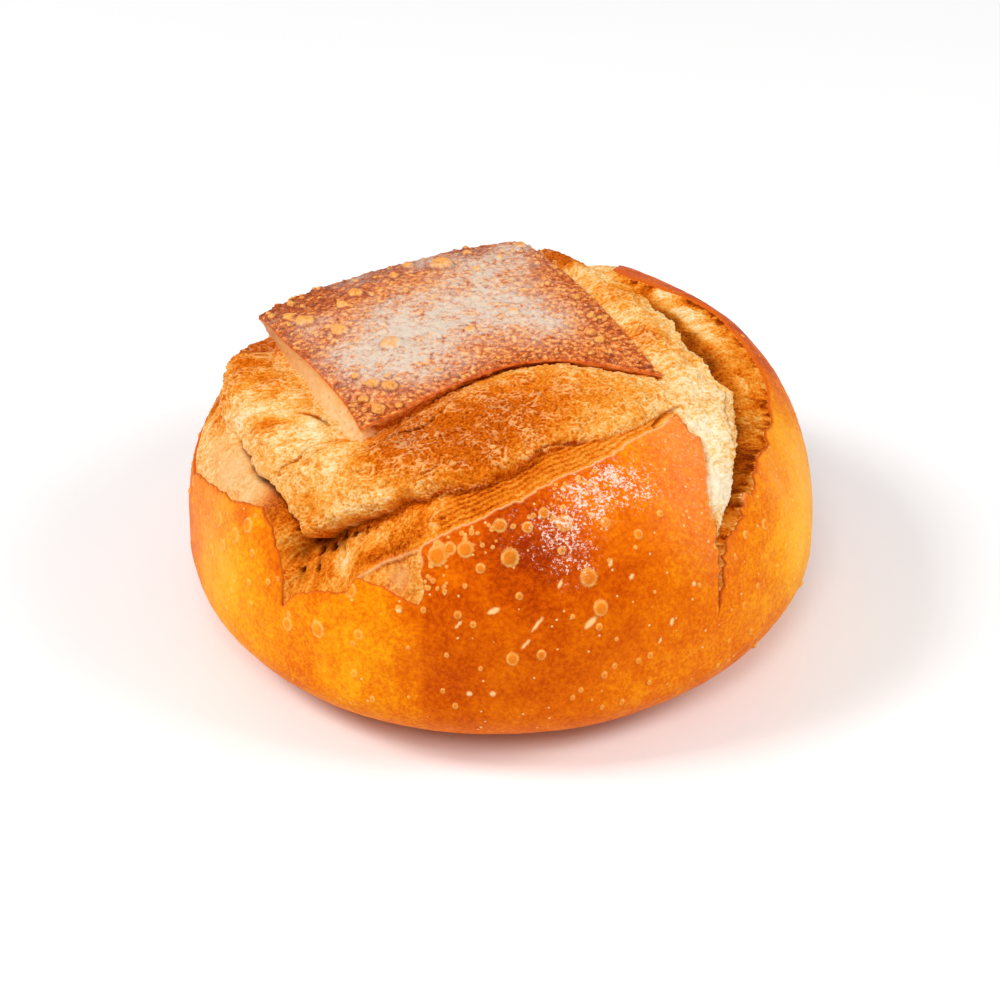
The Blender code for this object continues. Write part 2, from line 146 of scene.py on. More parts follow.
# Torn rim of the bowl, side by side from the left notch: azimuth, girth, lift of the lip
RIM_SIDES = (
    ((229, 122.9, 0), (232.6, 115.7, 0.3), (241.7, 109.5, 0.6), (243.8, 104.7, 0.8)),
    ((243.8, 104.7, 0.8), (248.3, 105.3, 0.4), (255.7, 109.1, 0.3)),
    ((255.7, 109.1, 0.3), (256.3, 104.1, 0.6), (254.8, 91.9, 1)),
    (
        (254.8, 91.9, 1), (259.9, 85.5, 1.2), (265.9, 80.8, 1.4), (274.8, 74.7, 1.4),
        (285.2, 69.2, 1.2), (297.3, 66.1, 0.9), (312, 63.7, 0.6), (327.3, 64.9, 0.5),
    ),
    (
        (327.3, 64.9, 0.5), (325, 72.5, 0.4), (325.7, 75.5, 0.4), (321.8, 81.7, 0.4),
        (316.3, 91.6, 0.3), (314.6, 100.4, 0.2), (312.7, 110.5, 0.1), (311.1, 125.5, 0),
    ),
    (
        (311.1, 125.5, 0), (313.1, 115.8, 0.2), (313.9, 109.8, 0.4), (317.4, 104.2, 0.6),
        (320.7, 101.8, 0.8), (324.4, 96.9, 1),
    ),
    (
        (324.4, 96.9, 1), (328, 97.4, 0.7), (331, 94.8, 0.2), (336, 92.6, -0.4),
        (342, 94.2, -1.2), (345.5, 91.8, -1.6), (350.5, 94, -1.8), (357, 92.4, -2),
        (4, 91.2, -1.4), (10, 88.4, -0.6), (16.3, 84.6, 0.2), (22, 83, 0.6),
        (28, 81.8, 0.8), (33, 78.8, 0.6), (38, 73, 0.4), (46, 69, 0),
        (52, 68.5, -0.4), (56.5, 70.7, -0.4),
    ),
    ((56.5, 70.7, -0.4), (60, 84, 0.6), (64, 104, 0.8), (66, 120, 0)),
    (
        (66, 120, 0), (72, 108, 0.6), (86, 101, 1), (105, 98, 1),
        (125, 100, 1), (140, 109, 0.6), (147, 122, 0),
    ),
    (
        (147, 122, 0), (156, 116, 0.4), (168, 117.5, 0.4), (183.9, 117.2, 0.4),
        (191.6, 113.2, 0.5), (202.2, 106.1, 0.6), (210.3, 102.7, 0.6), (218.4, 98, 0.8),
    ),
    (
        (218.4, 98, 0.8), (222.9, 102.3, 0.4), (227.8, 111.8, 0.2), (229, 122.9, 0),
    ),
)

# Notches of the rim, where its edge isn't torn: azimuth, girth
RIM_NOTCHES = ((229, 122.9), (311.1, 125.5), (66, 120), (147, 122))

# Outline of the lid: azimuth, girth, lift of the edge, step down to the crumb, width of
# the crumb's slope up from there, and lean of the side wall
LID_SIDES = (
    (
        (152, 92, 3.6, 4.5, 12, 3), (170, 71, 1, 6.6, 15, 5.5),
        (188, 60, 0, 7.2, 16, 8.5), (210, 56.7, 0, 7, 14, 12),
        (221, 59, 0.1, 6.2, 12, 10), (226.4, 61.4, 0.4, 5.2, 11, 5),
    ),
    (
        (226.4, 61.4, 0.4, 5.2, 11, 1.5), (232, 49, 0.2, 4.2, 10, 0.2),
        (238.5, 34.6, 0, 3.2, 9, -0.5), (254.6, 22.3, 0, 2.5, 8, -1),
        (293, 16.2, 0, 2.1, 8, -1.2), (325.7, 22.8, 0, 1.9, 7, -1.2),
        (334.8, 34.4, 0, 1.8, 6, -0.8), (341.4, 53.3, 0.2, 1.7, 5, 0),
    ),
    (
        (341.4, 53.3, 0.2, 1.7, 5, 0), (354.6, 44.3, 0, 1.8, 5, 0.3),
        (24, 38.7, 0, 2.2, 6, 0.6), (54, 44.4, 0, 2.6, 6, 0.8),
        (73, 57.8, 0.6, 3, 6, 0.8), (85, 77, 2.6, 5, 8, 1),
    ),
    (
        (85, 77, 2.6, 5, 8, 1), (103, 72, 0.6, 8, 16, 1),
        (122, 69, 0, 8, 16, 1), (140, 79, 0.8, 8, 16, 1),
        (152, 92, 3.6, 4.5, 12, 3),
    ),
)

# Groove round the swollen crumb: azimuth, girth, depth, width of the crumb's rounded edge
GROOVE_SIDES = (
    (
        (326, 61.5, 1.6, 3), (312, 60, 1.8, 4), (300, 58.5, 2.6, 5),
        (290.8, 57.5, 3.6, 6), (283.6, 58.2, 4.4, 6), (275.5, 64.1, 5, 6),
        (265.3, 70.9, 5.2, 6), (256, 74.2, 5.6, 6), (247.9, 79.8, 7.5, 6),
        (239.8, 88.6, 10.5, 5), (232.2, 98.6, 13, 4), (229.3, 101.4, 12, 3),
    ),
    (
        (229.3, 101.4, 12, 3), (227.6, 97.6, 7, 3), (223.5, 95.5, 4.2, 3),
        (218, 92, 2.8, 3), (211, 92.6, 2.2, 3), (204.5, 91.2, 2, 3),
        (198, 91, 2, 4), (189, 95, 2.4, 6), (175, 100, 3, 7),
        (160, 101, 4, 8), (150, 103, 5, 6),
    ),
    (
        (150, 103, 5, 6), (130, 88, 6, 6), (110, 85, 6, 6),
        (92, 89, 6, 6), (80, 87, 6, 5), (70, 74, 6, 4),
        (62, 65, 7, 4), (56, 60, 9, 3), (39.5, 59.7, 13, 2.6),
        (18.2, 59, 15, 2.6), (1, 63.5, 16, 2.6), (352, 69.9, 16, 2.6),
    ),
    (
        (352, 69.9, 16, 2.6), (349, 76.6, 16, 2.6), (342, 80, 16, 2.6),
        (335.2, 84.9, 15, 2.6), (330.2, 88.2, 14, 2.4), (322.3, 96.2, 12, 2.2),
        (316, 101.4, 9, 1.8), (313.4, 109.4, 6, 1.4), (311.9, 121, 3, 1),
    ),
    (
        (311.9, 121, 3, 1), (313.1, 110.5, 1.8, 1), (315.1, 100.4, 1.8, 1.4),
        (317.1, 91.6, 1.8, 2), (322.9, 81.7, 1.8, 2), (327.2, 75.5, 1.8, 2),
        (327, 71.5, 1.8, 2), (329.5, 64.2, 1.8, 2.4), (326, 61.5, 1.6, 3),
    ),
)

# Corners of the groove, where its edge isn't frayed: azimuth, girth
GROOVE_CORNERS = ((229.3, 101.4), (311.9, 121), (326, 61.5))

# Cracks in the crumb: half width and depth, then the places that each runs through
CRACKS = (
    (0.75, 3.6, ((197.5, 91.6), (204, 91.8), (211, 93.2), (218, 92.6), (224, 95.6),
                 (228, 98.8), (229.8, 103))),
    (0.4, 2, ((219.5, 69), (218.6, 74), (219.6, 79), (217.6, 84), (217.8, 88.3))),
    (0.4, 1.4, ((222.5, 72), (221.9, 76), (222.6, 80))),
    (0.4, 1.6, ((229.5, 66.5), (233.5, 63.2), (238, 56.5), (242.8, 52.3), (249, 42))),
    (0.5, 1.4, ((281, 58), (286, 56), (291, 56.5), (297, 58.5))),
    (0.5, 2.2, ((201.5, 71.4), (205, 68.8), (209, 67.4), (213.5, 67))),
    (0.5, 1.8, ((318, 64), (322.5, 62), (327.5, 62), (332, 64))),
    (0.35, 0.9, ((238, 62), (245, 57.5), (251, 54), (258, 49.5))),
    (0.35, 0.8, ((250, 70), (257, 62), (266, 56), (278, 51))),
    (0.35, 0.8, ((233, 76), (240, 71), (247, 67.5))),
    (0.35, 1, ((205, 86), (209, 83), (212, 78))),
    (0.4, 2, ((348, 71), (344, 73.2), (337.3, 76.6), (334, 80.8), (330.9, 85.6))),
)

# Torn ridges on the crumb: half width and height, then the places that each runs through
RIDGES = (
    (0.55, 1.5, ((244, 104.4), (246.5, 100.4), (250.3, 96.4), (254.6, 92.2))),
    (1.3, 1.3, ((188.5, 94), (194, 88.5), (197.4, 84.2), (199.5, 79), (201.2, 74),
                (205, 71.2))),
    (0.7, 0.9, ((251, 88), (256, 82.5), (264, 77.5), (274, 71.5), (284, 66))),
    (0.8, 1.2, ((243, 100), (246.4, 96.4), (249.9, 92.4), (253.5, 87))),
    (0.5, 0.8, ((286, 66.5), (290, 63), (296, 62.5), (301, 64.5))),
)

# Holes in the raw crumb: azimuth, girth, radius, depth
HOLES = (
    (235.4, 97.6, 1.4, 3), (238, 94.6, 1.2, 2.6), (233.6, 101, 1.7, 3.4), (231.8, 104.6, 1.5, 3.2),
    (240.6, 91.8, 1.1, 2.4), (237, 99.6, 0.8, 1.8), (242.6, 90.4, 0.7, 1.4), (233.6, 108.5, 1.4, 2.8),
    (240.4, 95.4, 0.7, 1.5), (230.6, 111, 1.2, 2.4), (226.5, 99.5, 1.3, 2.6),
)

# Where the crumb is torn into crags: azimuth, girth, radius, amount
CRAGS = (
    (162, 90, 7, 0.9), (172, 86, 6, 1), (181, 92, 6, 0.8), (187, 85, 4, 0.5), (170, 98, 7, 0.8),
)

# Where the crumb was torn smooth: azimuth, girth, radius, amount
SMOOTH_FACES = (
    (203, 99, 9, 1.1), (213, 97.5, 7, 0.8), (193, 103, 7, 0.6), (251.5, 102, 4, 0.5),
)

# Where crumb is toasted (or, if negative, pale): azimuth, girth, radius, amount
CRUMB_TOAST = (
    (252, 48, 24, 0.32), (275, 44, 22, 0.26), (240, 62, 12, 0.26), (300, 36, 16, 0.16),
    (322, 45, 14, 0.06), (262, 62, 12, 0.10), (246.4, 97.1, 3.4, 0.32), (249.9, 92.8, 3.4, 0.30),
    (253.5, 87, 3.6, 0.28), (257, 83, 4, 0.22), (266, 76, 9, 0.12), (243, 100.5, 3, 0.24),
    (160, 96, 11, 0.50), (170, 104, 9, 0.50), (176, 84, 8, 0.28), (184, 77, 6, 0.28), (191, 74, 4, 0.20),
    (182, 100, 6, 0.30), (203.4, 78.8, 4, 0.34), (202, 83.5, 3, 0.22), (223, 82, 6, 0.08),
    (229, 92, 6, 0.20), (221, 99, 5, 0.24), (232, 96, 4, 0.20), (3, 48, 6, 0.30), (10, 45, 5, 0.26),
    (355, 56, 4, 0.12), (39, 50, 8, 0.26), (76, 71, 9, 0.60), (66, 66, 7, 0.40), (240, 100, 4, -0.16),
    (244, 94, 3, -0.10), (250, 103, 5, -0.08), (345, 68, 12, -0.14), (10, 57, 7, -0.06),
    (320, 90, 9, -0.30), (327, 78, 8, -0.20), (196.5, 85, 4, -0.20), (213, 85, 8, -0.02),
    (226, 72, 6, -0.10), (200.5, 75, 3, -0.20), (190, 92, 4, -0.14), (208, 70, 3.4, -0.22),
    (214, 71, 4, -0.16), (236, 106, 4, 0.10), (238, 58, 8, 0.14), (68, 62, 5, 0.30), (160, 86, 8, 0.24),
    (168, 108, 7, 0.20), (172, 86, 6, 0.22), (160, 89, 6, 0.34), (330, 72, 8, -0.20), (322, 90, 7, -0.20),
    (5, 52, 8, -0.06), (345, 62, 8, -0.06), (230, 106, 5, 0.16), (165, 82, 6, 0.25), (183, 91, 6, 0.25),
    (188, 97, 4, 0.14), (238, 103.5, 3.4, -0.24), (244, 91.6, 2.8, -0.20), (300, 52, 10, -0.04),
)

# Pale crumb on the petal's torn inner wall: half width and amount, then its places
PETAL_PALE = (
    (2.5, 1.1, ((40, 70), (34, 72.8), (28, 74.6), (20, 76.8), (12, 79.4))),
    (1.6, 0.6, ((4, 84), (0, 86), (356, 87))),
)

# Painted shade in the cleft beyond the crumb's right shoulder: half width and amount, then its places
GAP_DARK = (
    (2.9, 1, ((48, 62), (38, 65.5), (30, 69), (22, 71), (14, 73.5),
                (7, 76.8), (0, 79.5), (353, 82), (347, 84), (341, 86.5),
                (335, 89), (329, 93), (323, 98))),
    (3.8, 0.9, ((9, 76), (3, 78.2), (357, 80.6))),
)

# Painted shade in the pit at the front: azimuth, girth, radius, amount
PIT_DARK = (
    (231, 101.5, 3.4, 1.1), (228.8, 106, 2.6, 1), (235.5, 97.4, 2.6, 1), (231, 111.5, 2.2, 0.7),
    (239, 93.4, 1.8, 0.7), (233.4, 106.5, 1.6, 0.6),
)

# Where the outer crust is baked darker (or lighter): azimuth, girth, radius, amount
CRUST_BAKE = (
    (276, 88, 15, 0.40), (268, 104, 20, 0.12), (288, 98, 18, 0.12), (280, 125, 30, 0.14),
    (262, 140, 24, 0.10), (300, 112, 16, 0.08), (225, 110, 9, 0.12), (214, 104, 6, 0.16),
    (242, 113, 8, 0.06), (245, 130, 22, -0.16), (212, 130, 26, -0.34), (345, 125, 34, -0.36),
    (328, 104, 9, 0.08), (12, 94, 8, 0.28), (24, 89, 9, 0.30), (38, 81, 11, 0.34), (54, 74, 12, 0.24),
    (350, 112, 16, -0.14), (335, 124, 18, -0.12),
)

# Where the crust has a pale salmon bloom: azimuth, girth, radius, amount
CRUST_BLOOM = (
    (322, 74, 14, 0.75), (312, 90, 12, 0.45), (338, 103, 12, 0.40), (205, 116, 16, 0.45),
    (195, 130, 16, 0.25), (350, 112, 14, 0.25), (312, 106, 8, 0.25),
)

# Where flour lies on the crust: azimuth, girth, radius, amount
CRUST_FLOUR = (
    (296, 73, 9, 0.85), (288, 80, 9, 0.75), (281, 88, 9, 0.62), (304, 78, 8, 0.45), (284, 97, 8, 0.35),
    (272, 84, 7, 0.22),
)

# Larger blisters of the outer crust: azimuth, girth, radius, height
CRUST_BLISTERS = (
    (272.2, 123.6, 2.3, 0.7), (277.1, 122.8, 1.8, 0.6), (286.3, 100.8, 2.9, 1.1),
    (287.8, 110.4, 2.6, 0.9), (272, 92.8, 2.9, 1), (283.3, 83.9, 2.6, 0.9), (237.4, 124.5, 2.9, 0.5),
    (258.3, 93.3, 3.2, 1.1), (263.5, 90.7, 2.6, 0.9), (260.4, 90.9, 1.8, 0.7), (270.1, 83.2, 2.2, 0.8),
    (275.7, 84, 1.8, 0.7), (230.7, 127.7, 2.4, 0.4), (245.4, 121.5, 1.7, 0.4), (252.4, 110.6, 1.3, 0.5),
    (214.3, 111.3, 2.6, 0.7), (207.8, 112.4, 2.2, 0.6), (217.1, 105.3, 2.4, 0.6), (206.6, 124.6, 2, 0.4),
    (211, 118, 1.9, 0.4), (243, 108.6, 2.3, 0.6), (298, 92, 1.6, 0.6), (266.5, 96, 1.6, 0.6),
    (279.5, 80, 1.8, 0.7), (292, 86, 1.7, 0.6), (326.5, 108, 1.8, 0.5), (262.8, 110, 1.4, 0.5),
)

# Long pale flecks in the outer crust: azimuth, girth, length, width, tilt in degrees
CRUST_FLECKS = (
    (269, 108.5, 4, 1.6, 20), (285.8, 114.5, 5, 1.9, 35), (276.5, 113, 6, 1, 45),
    (274.5, 119, 4, 0.9, 45), (265, 135.9, 2.4, 1.6, 0), (268.9, 135.6, 2.4, 1.6, 0),
    (291, 98, 2.2, 1.2, 60), (294.5, 103.5, 1.9, 1.2, 30), (252.4, 111, 2, 1.4, 0),
    (301, 121, 2.4, 1.5, 70), (306.5, 112, 1.6, 1.4, 0), (263, 113, 3, 0.8, 50), (281, 101.5, 2.6, 1, 60),
    (298.5, 126, 2.2, 0.9, 60),
)

# Larger blisters of the lid: azimuth, girth, radius, height
LID_BLISTERS = (
    (164.3, 63.5, 3.4, 1.5), (170.6, 50.7, 3.2, 1.2), (144, 57.4, 2.8, 1.2), (185.2, 33.7, 4.4, 1),
    (111, 52.9, 4.6, 1.5), (99, 44.8, 1.9, 0.8), (89.8, 53.5, 1.8, 0.8), (153.5, 55.8, 2.2, 1.1),
    (160.1, 71.2, 2.4, 1), (4.7, 28.6, 2, 1), (355.9, 30.7, 1.9, 1), (212.4, 45.3, 2.6, 1.1),
    (219, 42.3, 2.8, 1.3), (225.3, 41, 2, 1), (226.9, 26.7, 1.6, 0.7), (217.2, 51.6, 2, 0.9),
    (225.3, 51.7, 2.6, 1.1), (73.8, 15.6, 2.4, 0.7), (24.2, 31.6, 1.8, 0.8), (45.2, 34.5, 1.8, 0.8),
    (153.9, 10.3, 2.2, 0.5), (147.2, 14, 1.8, 0.6), (120, 60, 2.4, 1), (128, 56, 2, 0.9),
    (76, 62, 2.2, 0.9), (84, 66, 2.6, 1), (100, 62, 2.2, 0.9), (212, 40, 1.5, 0.7), (204, 48, 1.8, 0.8),
    (230, 47, 1.6, 0.8), (180, 44, 1.6, 0.7), (152, 76, 2, 0.9), (157, 80, 1.7, 0.8),
)

# Where the lid is dusted thickest with flour: azimuth, girth, radius, amount
LID_FLOUR = (
    (160, 24, 20, 0.75), (100, 30, 17, 0.65), (195, 34, 15, 0.70), (60, 16, 14, 0.55), (92, 52, 13, 0.70),
    (225, 26, 10, 0.30), (150, 40, 12, 0.35), (188, 48, 10, 0.50), (20, 18, 9, 0.30), (208, 44, 9, 0.25),
    (112, 64, 12, 0.50), (135, 68, 10, 0.40), (160, 82, 6, 0.30), (86, 68, 8, 0.50), (166, 62, 10, 0.35),
)

# How many small blisters are tried on the crust, along the ear and on the lid
CRUST_SMALL_BLISTERS = 300
EAR_SMALL_BLISTERS = 360
LID_SMALL_BLISTERS = 2200

# Colours in sRGB from 0 to 255. The crust by how darkly it is baked
CRUST_TONES = (
    (0.0, (255, 188, 52)),
    (0.25, (252, 162, 12)),
    (0.5, (232, 112, 2)),
    (0.75, (202, 78, 0)),
    (1.0, (152, 42, 0)),
)

# The lid by how darkly it is baked, its cut wall, and its torn wall from top to foot, whose darkening
# towards the foot is partly painted shade under the lid's edge
LID_TONES = (
    (0.0, (244, 184, 106)),
    (0.3, (232, 136, 58)),
    (0.6, (204, 92, 26)),
    (1.0, (136, 46, 12)),
)
CUT_TONES = (
    (0.0, (236, 130, 52)),
    (0.15, (244, 176, 104)),
    (0.45, (240, 202, 150)),
    (1.0, (248, 202, 140)),
)
TORN_TONES = ((0.0, (208, 116, 38)), (0.45, (192, 90, 12)), (1.0, (150, 56, 0)))

# The crumb by how far it is toasted, darkened further where shade is painted in
CRUMB_TONES = (
    (0.0, (250, 232, 200)),
    (0.2, (246, 204, 138)),
    (0.4, (240, 166, 72)),
    (0.55, (231, 137, 36)),
    (0.7, (218, 110, 12)),
    (0.85, (190, 82, 2)),
    (1.0, (128, 44, 0)),
)

# Single colours
BLOOM_COLOUR = (246, 138, 74)
PEBBLE_COLOUR = (250, 196, 140)
BLISTER_COLOUR = (246, 150, 42)
BLISTER_RING_COLOUR = (255, 206, 112)
FLOUR_COLOUR = (246, 218, 200)
FLECK_COLOUR = (255, 214, 146)
RIM_COLOUR = (206, 92, 24)
EAR_COLOUR = (248, 182, 122)
# Painted shade round the foot of each blister on the lid
BLISTER_FOOT_COLOUR = (150, 52, 10)
BLISTER_SIDE_COLOUR = (252, 184, 92)
BLISTER_CROWN_COLOUR = (240, 146, 56)
LID_DOT_COLOUR = (250, 214, 168)
CUT_GRAIN_COLOUR = (240, 172, 92)
CUT_PORE_COLOUR = (214, 134, 66)
CUT_SHADED_COLOUR = (230, 166, 102)
LID_FLOUR_COLOUR = (220, 207, 190)
LID_EDGE_COLOUR = (222, 92, 20)
# Pale strands of torn crumb, partly painted highlight on the crests of the curls
STRAND_COLOUR = (250, 212, 154)
SMOOTH_FACE_COLOUR = (234, 187, 130)
CREST_COLOUR = (250, 188, 128)
# Painted shade: dark brown for the crumb's cracks, holes, the cleft on the right and the pit in front
HOLLOW_COLOUR = (92, 34, 0)

# Camera: how far above the horizon it looks down from, its distance and its lens
CAMERA_ELEVATION = 35.0
CAMERA_DISTANCE = 0.9
CAMERA_AIM = (0.0002, 0.0, 0.0306)
CAMERA_LENS = 99.3
CAMERA_SENSOR = 36.0

# Light: each soft lamp's azimuth, elevation, distance, size and power
LAMPS = (
    ("key", 186.0, 46.0, 2.6, 0.8, 36.0),
    ("side", 350.0, 40.0, 2.6, 1.0, 27.0),
    ("front", 262.0, 52.0, 2.6, 0.9, 22.0),
)
WORLD_STRENGTH = 0.38
FLOOR_SIZE = 12.0


def dome_distance(elevation):
    """Distance in mm from the middle of the loaf's widest level to its surface."""
    across = np.abs(np.cos(elevation)) / LOAF_RADIUS
    above = np.abs(np.sin(elevation)) / (LOAF_HEIGHT - BELLY_HEIGHT)
    below = np.abs(np.sin(elevation)) / UNDERSIDE_DEPTH
    upper = (across**UPPER_ROUNDNESS + above**UPPER_ROUNDNESS) ** (-1 / UPPER_ROUNDNESS)
    lower = (across**LOWER_ROUNDNESS + below**LOWER_ROUNDNESS) ** (-1 / LOWER_ROUNDNESS)
    flat_base = BELLY_HEIGHT / np.maximum(-np.sin(elevation), 1e-6)
    return np.where(elevation > 0, upper, np.minimum(lower, flat_base))


def girth_table():
    """Elevations from the crown down to the edge of the flat base, with their girths."""
    elevations = np.linspace(math.pi / 2, -math.pi / 2, 6001)
    reach = dome_distance(elevations) * np.cos(elevations)
    height = BELLY_HEIGHT + dome_distance(elevations) * np.sin(elevations)
    steps = np.hypot(np.diff(reach), np.diff(height))
    passed = np.concatenate([[0.0], np.cumsum(steps)])
    above_base = height > 1e-4
    return elevations[above_base], passed[above_base]


ELEVATIONS, GIRTHS = girth_table()
BASE_GIRTH = float(GIRTHS[-1])


def place(chart, depth):
    """Positions in mm of points of the map, sunk into the loaf by a depth in mm."""
    girth = np.hypot(chart[:, 0], chart[:, 1])
    azimuth = np.arctan2(chart[:, 1], chart[:, 0])
    elevation = np.interp(girth, GIRTHS, ELEVATIONS)
    distance = dome_distance(elevation) - depth
    reach = distance * np.cos(elevation)
    height = BELLY_HEIGHT + distance * np.sin(elevation)
    for direction, spread, level, extent, stand in FULLNESS:
        turn = (np.degrees(azimuth) - direction + 180.0) % 360.0 - 180.0
        weight = np.exp(-((turn / spread) ** 2) - ((height - level) / extent) ** 2)
        reach = reach + stand * weight * np.clip(reach / LOAF_RADIUS, 0, 1)
    return np.column_stack([reach * np.cos(azimuth), reach * np.sin(azimuth), height])


def on_map(places):
    """Map coordinates of rows that start with an azimuth and a girth."""
    table = np.array(places, dtype=float)
    azimuth = np.radians(table[:, 0])
    return np.column_stack(
        [table[:, 1] * np.cos(azimuth), table[:, 1] * np.sin(azimuth), table[:, 2:]]
    )


def chart_solid(chart):
    """Map points as points in space with no height."""
    return np.column_stack([chart[:, :2], np.zeros(len(chart))])


def azimuths(chart):
    """Azimuth of each map point, from 0 to 360 degrees."""
    return np.degrees(np.arctan2(chart[:, 1], chart[:, 0])) % 360.0


def girths(chart):
    """Girth of each map point."""
    return np.hypot(chart[:, 0], chart[:, 1])


def ease(value):
    """Smooth step from 0 to 1."""
    value = np.clip(value, 0, 1)
    return value * value * (3 - 2 * value)


def between_azimuths(chart, low, high, soft):
    """1 between two azimuths, easing to 0 over some degrees on both sides."""
    half = (high - low) / 2
    turn = np.abs((azimuths(chart) - low - half + 180.0) % 360.0 - 180.0)
    return 1 - ease((turn - half) / soft)


def within(chart, region):
    """Whether map points lie from one azimuth to another and short of a girth."""
    low, high, limit = region
    azimuth = azimuths(chart)
    return (azimuth >= low) & (azimuth < high) & (girths(chart) < limit)


def trace_side(points, step):
    """A smooth path through points, without its last point."""
    ends = np.vstack([2 * points[0] - points[1], points, 2 * points[-1] - points[-2]])
    rows = []
    for index in range(len(points) - 1):
        before, start, end, after = ends[index : index + 4]
        count = max(1, round(np.hypot(*(end - start)[:2]) / step))
        part = (np.arange(count) / count)[:, None]
        rows.append(
            start * (2 * part**3 - 3 * part**2 + 1)
            + 0.5 * (end - before) * (part**3 - 2 * part**2 + part)
            + end * (3 * part**2 - 2 * part**3)
            + 0.5 * (after - start) * (part**3 - part**2)
        )
    return np.vstack(rows)


def trace(sides, step):
    """A closed outline on the map, smooth along each side and sharp where sides meet."""
    return np.vstack([trace_side(on_map(side), step) for side in sides])


def ragged(loop, amounts):
    """An outline with small teeth, of the given sizes, that stand out and in."""
    along = np.roll(loop[:, :2], -1, axis=0) - np.roll(loop[:, :2], 1, axis=0)
    along /= np.linalg.norm(along, axis=1)[:, None] + 1e-9
    across = np.column_stack([along[:, 1], -along[:, 0]])
    moved = loop.copy()
    moved[:, :2] += across * np.asarray(amounts)[:, None]
    return moved


GRADIENTS = np.random.default_rng(11).normal(size=(256, 3))
GRADIENTS /= np.linalg.norm(GRADIENTS, axis=1)[:, None]


def waves(points, size, seed=0):
    """Smooth random unevenness of about -1 to 1, with features of a size in mm."""
    scaled = np.asarray(points, dtype=float) / size + seed * 17.31
    cell = np.floor(scaled).astype(np.int64)
    part = scaled - cell
    fade = part**3 * (part * (part * 6 - 15) + 10)
    total = np.zeros(len(scaled))
    for corner in itertools.product((0, 1), repeat=3):
        at = cell + np.array(corner)
        key = (at[:, 0] * 73856093) ^ (at[:, 1] * 19349663) ^ (at[:, 2] * 83492791)
        slope = GRADIENTS[(key ^ (key >> 9)) & 255]
        weight = np.prod(np.where(corner, fade, 1 - fade), axis=1)
        total += weight * (slope * (part - np.array(corner))).sum(axis=1)
    return total * 1.7


def rough(points, size, seed=0, layers=3):
    """Unevenness with ever finer layers."""
    total = np.zeros(len(points))
    for layer in range(layers):
        total += waves(points, size / 2**layer, seed + layer) * 0.55**layer
    return total


def ridges(points, size, seed=0):
    """Thin raised curls: 1 along the crests, falling towards 0 between them."""
    curl = np.column_stack([waves(points, size * 1.6, seed + k) for k in (5, 6, 7)])
    return 1 - np.minimum(1, 2.6 * np.abs(waves(points + 0.8 * size * curl, size, seed)))


def swirls(points, size, seed):
    """Crisp curly strands: 1 along each strand, 0 between them."""
    bend = np.column_stack([waves(points, 8.0, seed + k) for k in (1, 2, 3)])
    kink = np.column_stack([waves(points, 2.4 * size, seed + k) for k in (4, 5, 6)])
    bent = points + 3.4 * bend + 0.7 * size * kink
    along = bent[:, :2] @ (FIBRE_DIRECTION / np.linalg.norm(FIBRE_DIRECTION))
    bent[:, :2] -= np.outer(along * (1 - 1 / FIBRE_STRETCH), FIBRE_DIRECTION)
    return np.clip(1 - 3.0 * np.abs(waves(bent, size, seed)), 0, 1)


def patches(chart, table):
    """Sum of soft round patches given by azimuth, girth, radius and amount."""
    total = np.zeros(len(chart))
    for x, y, radius, amount in on_map(table):
        away = (chart[:, 0] - x) ** 2 + (chart[:, 1] - y) ** 2
        total += amount * np.exp(-away / radius**2)
    return total


def point_tree(chart):
    """A search tree of map points."""
    tree = kdtree.KDTree(len(chart))
    for index, (x, y) in enumerate(chart[:, :2]):
        tree.insert((x, y, 0.0), index)
    tree.balance()
    return tree


def along_paths(chart, table):
    """For each map point the most that any of the thin lines in a table adds there."""
    most = np.zeros(len(chart))
    for half_width, amount, places in table:
        path = trace_side(on_map(places), 0.5)
        fade = np.sin(np.linspace(0.1, 1.0, len(path)) * math.pi * 0.94) ** 0.4
        flat = np.column_stack([path, np.zeros(len(path))])
        path = path + 0.5 * np.column_stack([waves(flat, 3.0, seed) for seed in (80, 81)])
        tree = point_tree(path)
        reach = 3 * half_width
        low, high = path.min(axis=0) - reach, path.max(axis=0) + reach
        near = np.all((chart > low) & (chart < high), axis=1)
        for index in np.nonzero(near)[0]:
            _, found, distance = tree.find((chart[index, 0], chart[index, 1], 0.0))
            if distance < reach:
                here = amount * fade[found] * math.exp(-((distance / half_width) ** 2))
                most[index] = max(most[index], here)
    return most


def domes(chart, table):
    """Height of blisters, and how deep within the largest blisters each point is."""
    tree = point_tree(chart)
    height = np.zeros(len(chart))
    inner = np.zeros(len(chart))
    for x, y, radius, rise in on_map(table):
        size = min(1.0, radius / 2.0)
        for _, index, distance in tree.find_range((x, y, 0.0), radius):
            part = distance / radius
            height[index] = max(height[index], rise * (1 - part**2) ** 0.7)
            inner[index] = max(inner[index], (1 - part) * size)
    return height, inner


def scatter_blisters(count, seed, girth_range, azimuth_range, radii, keep):
    """Random small blisters: azimuth, girth, radius and height, thinned by a rule."""
    random = np.random.default_rng(seed)
    azimuth = random.uniform(*azimuth_range, count)
    girth = np.sqrt(random.uniform(girth_range[0] ** 2, girth_range[1] ** 2, count))
    radius = random.uniform(*radii, count)
    height = radius * random.uniform(0.3, 0.5, count)
    rows = np.column_stack([azimuth, girth, radius, height])
    return rows[keep(on_map(rows), random.random(count))]


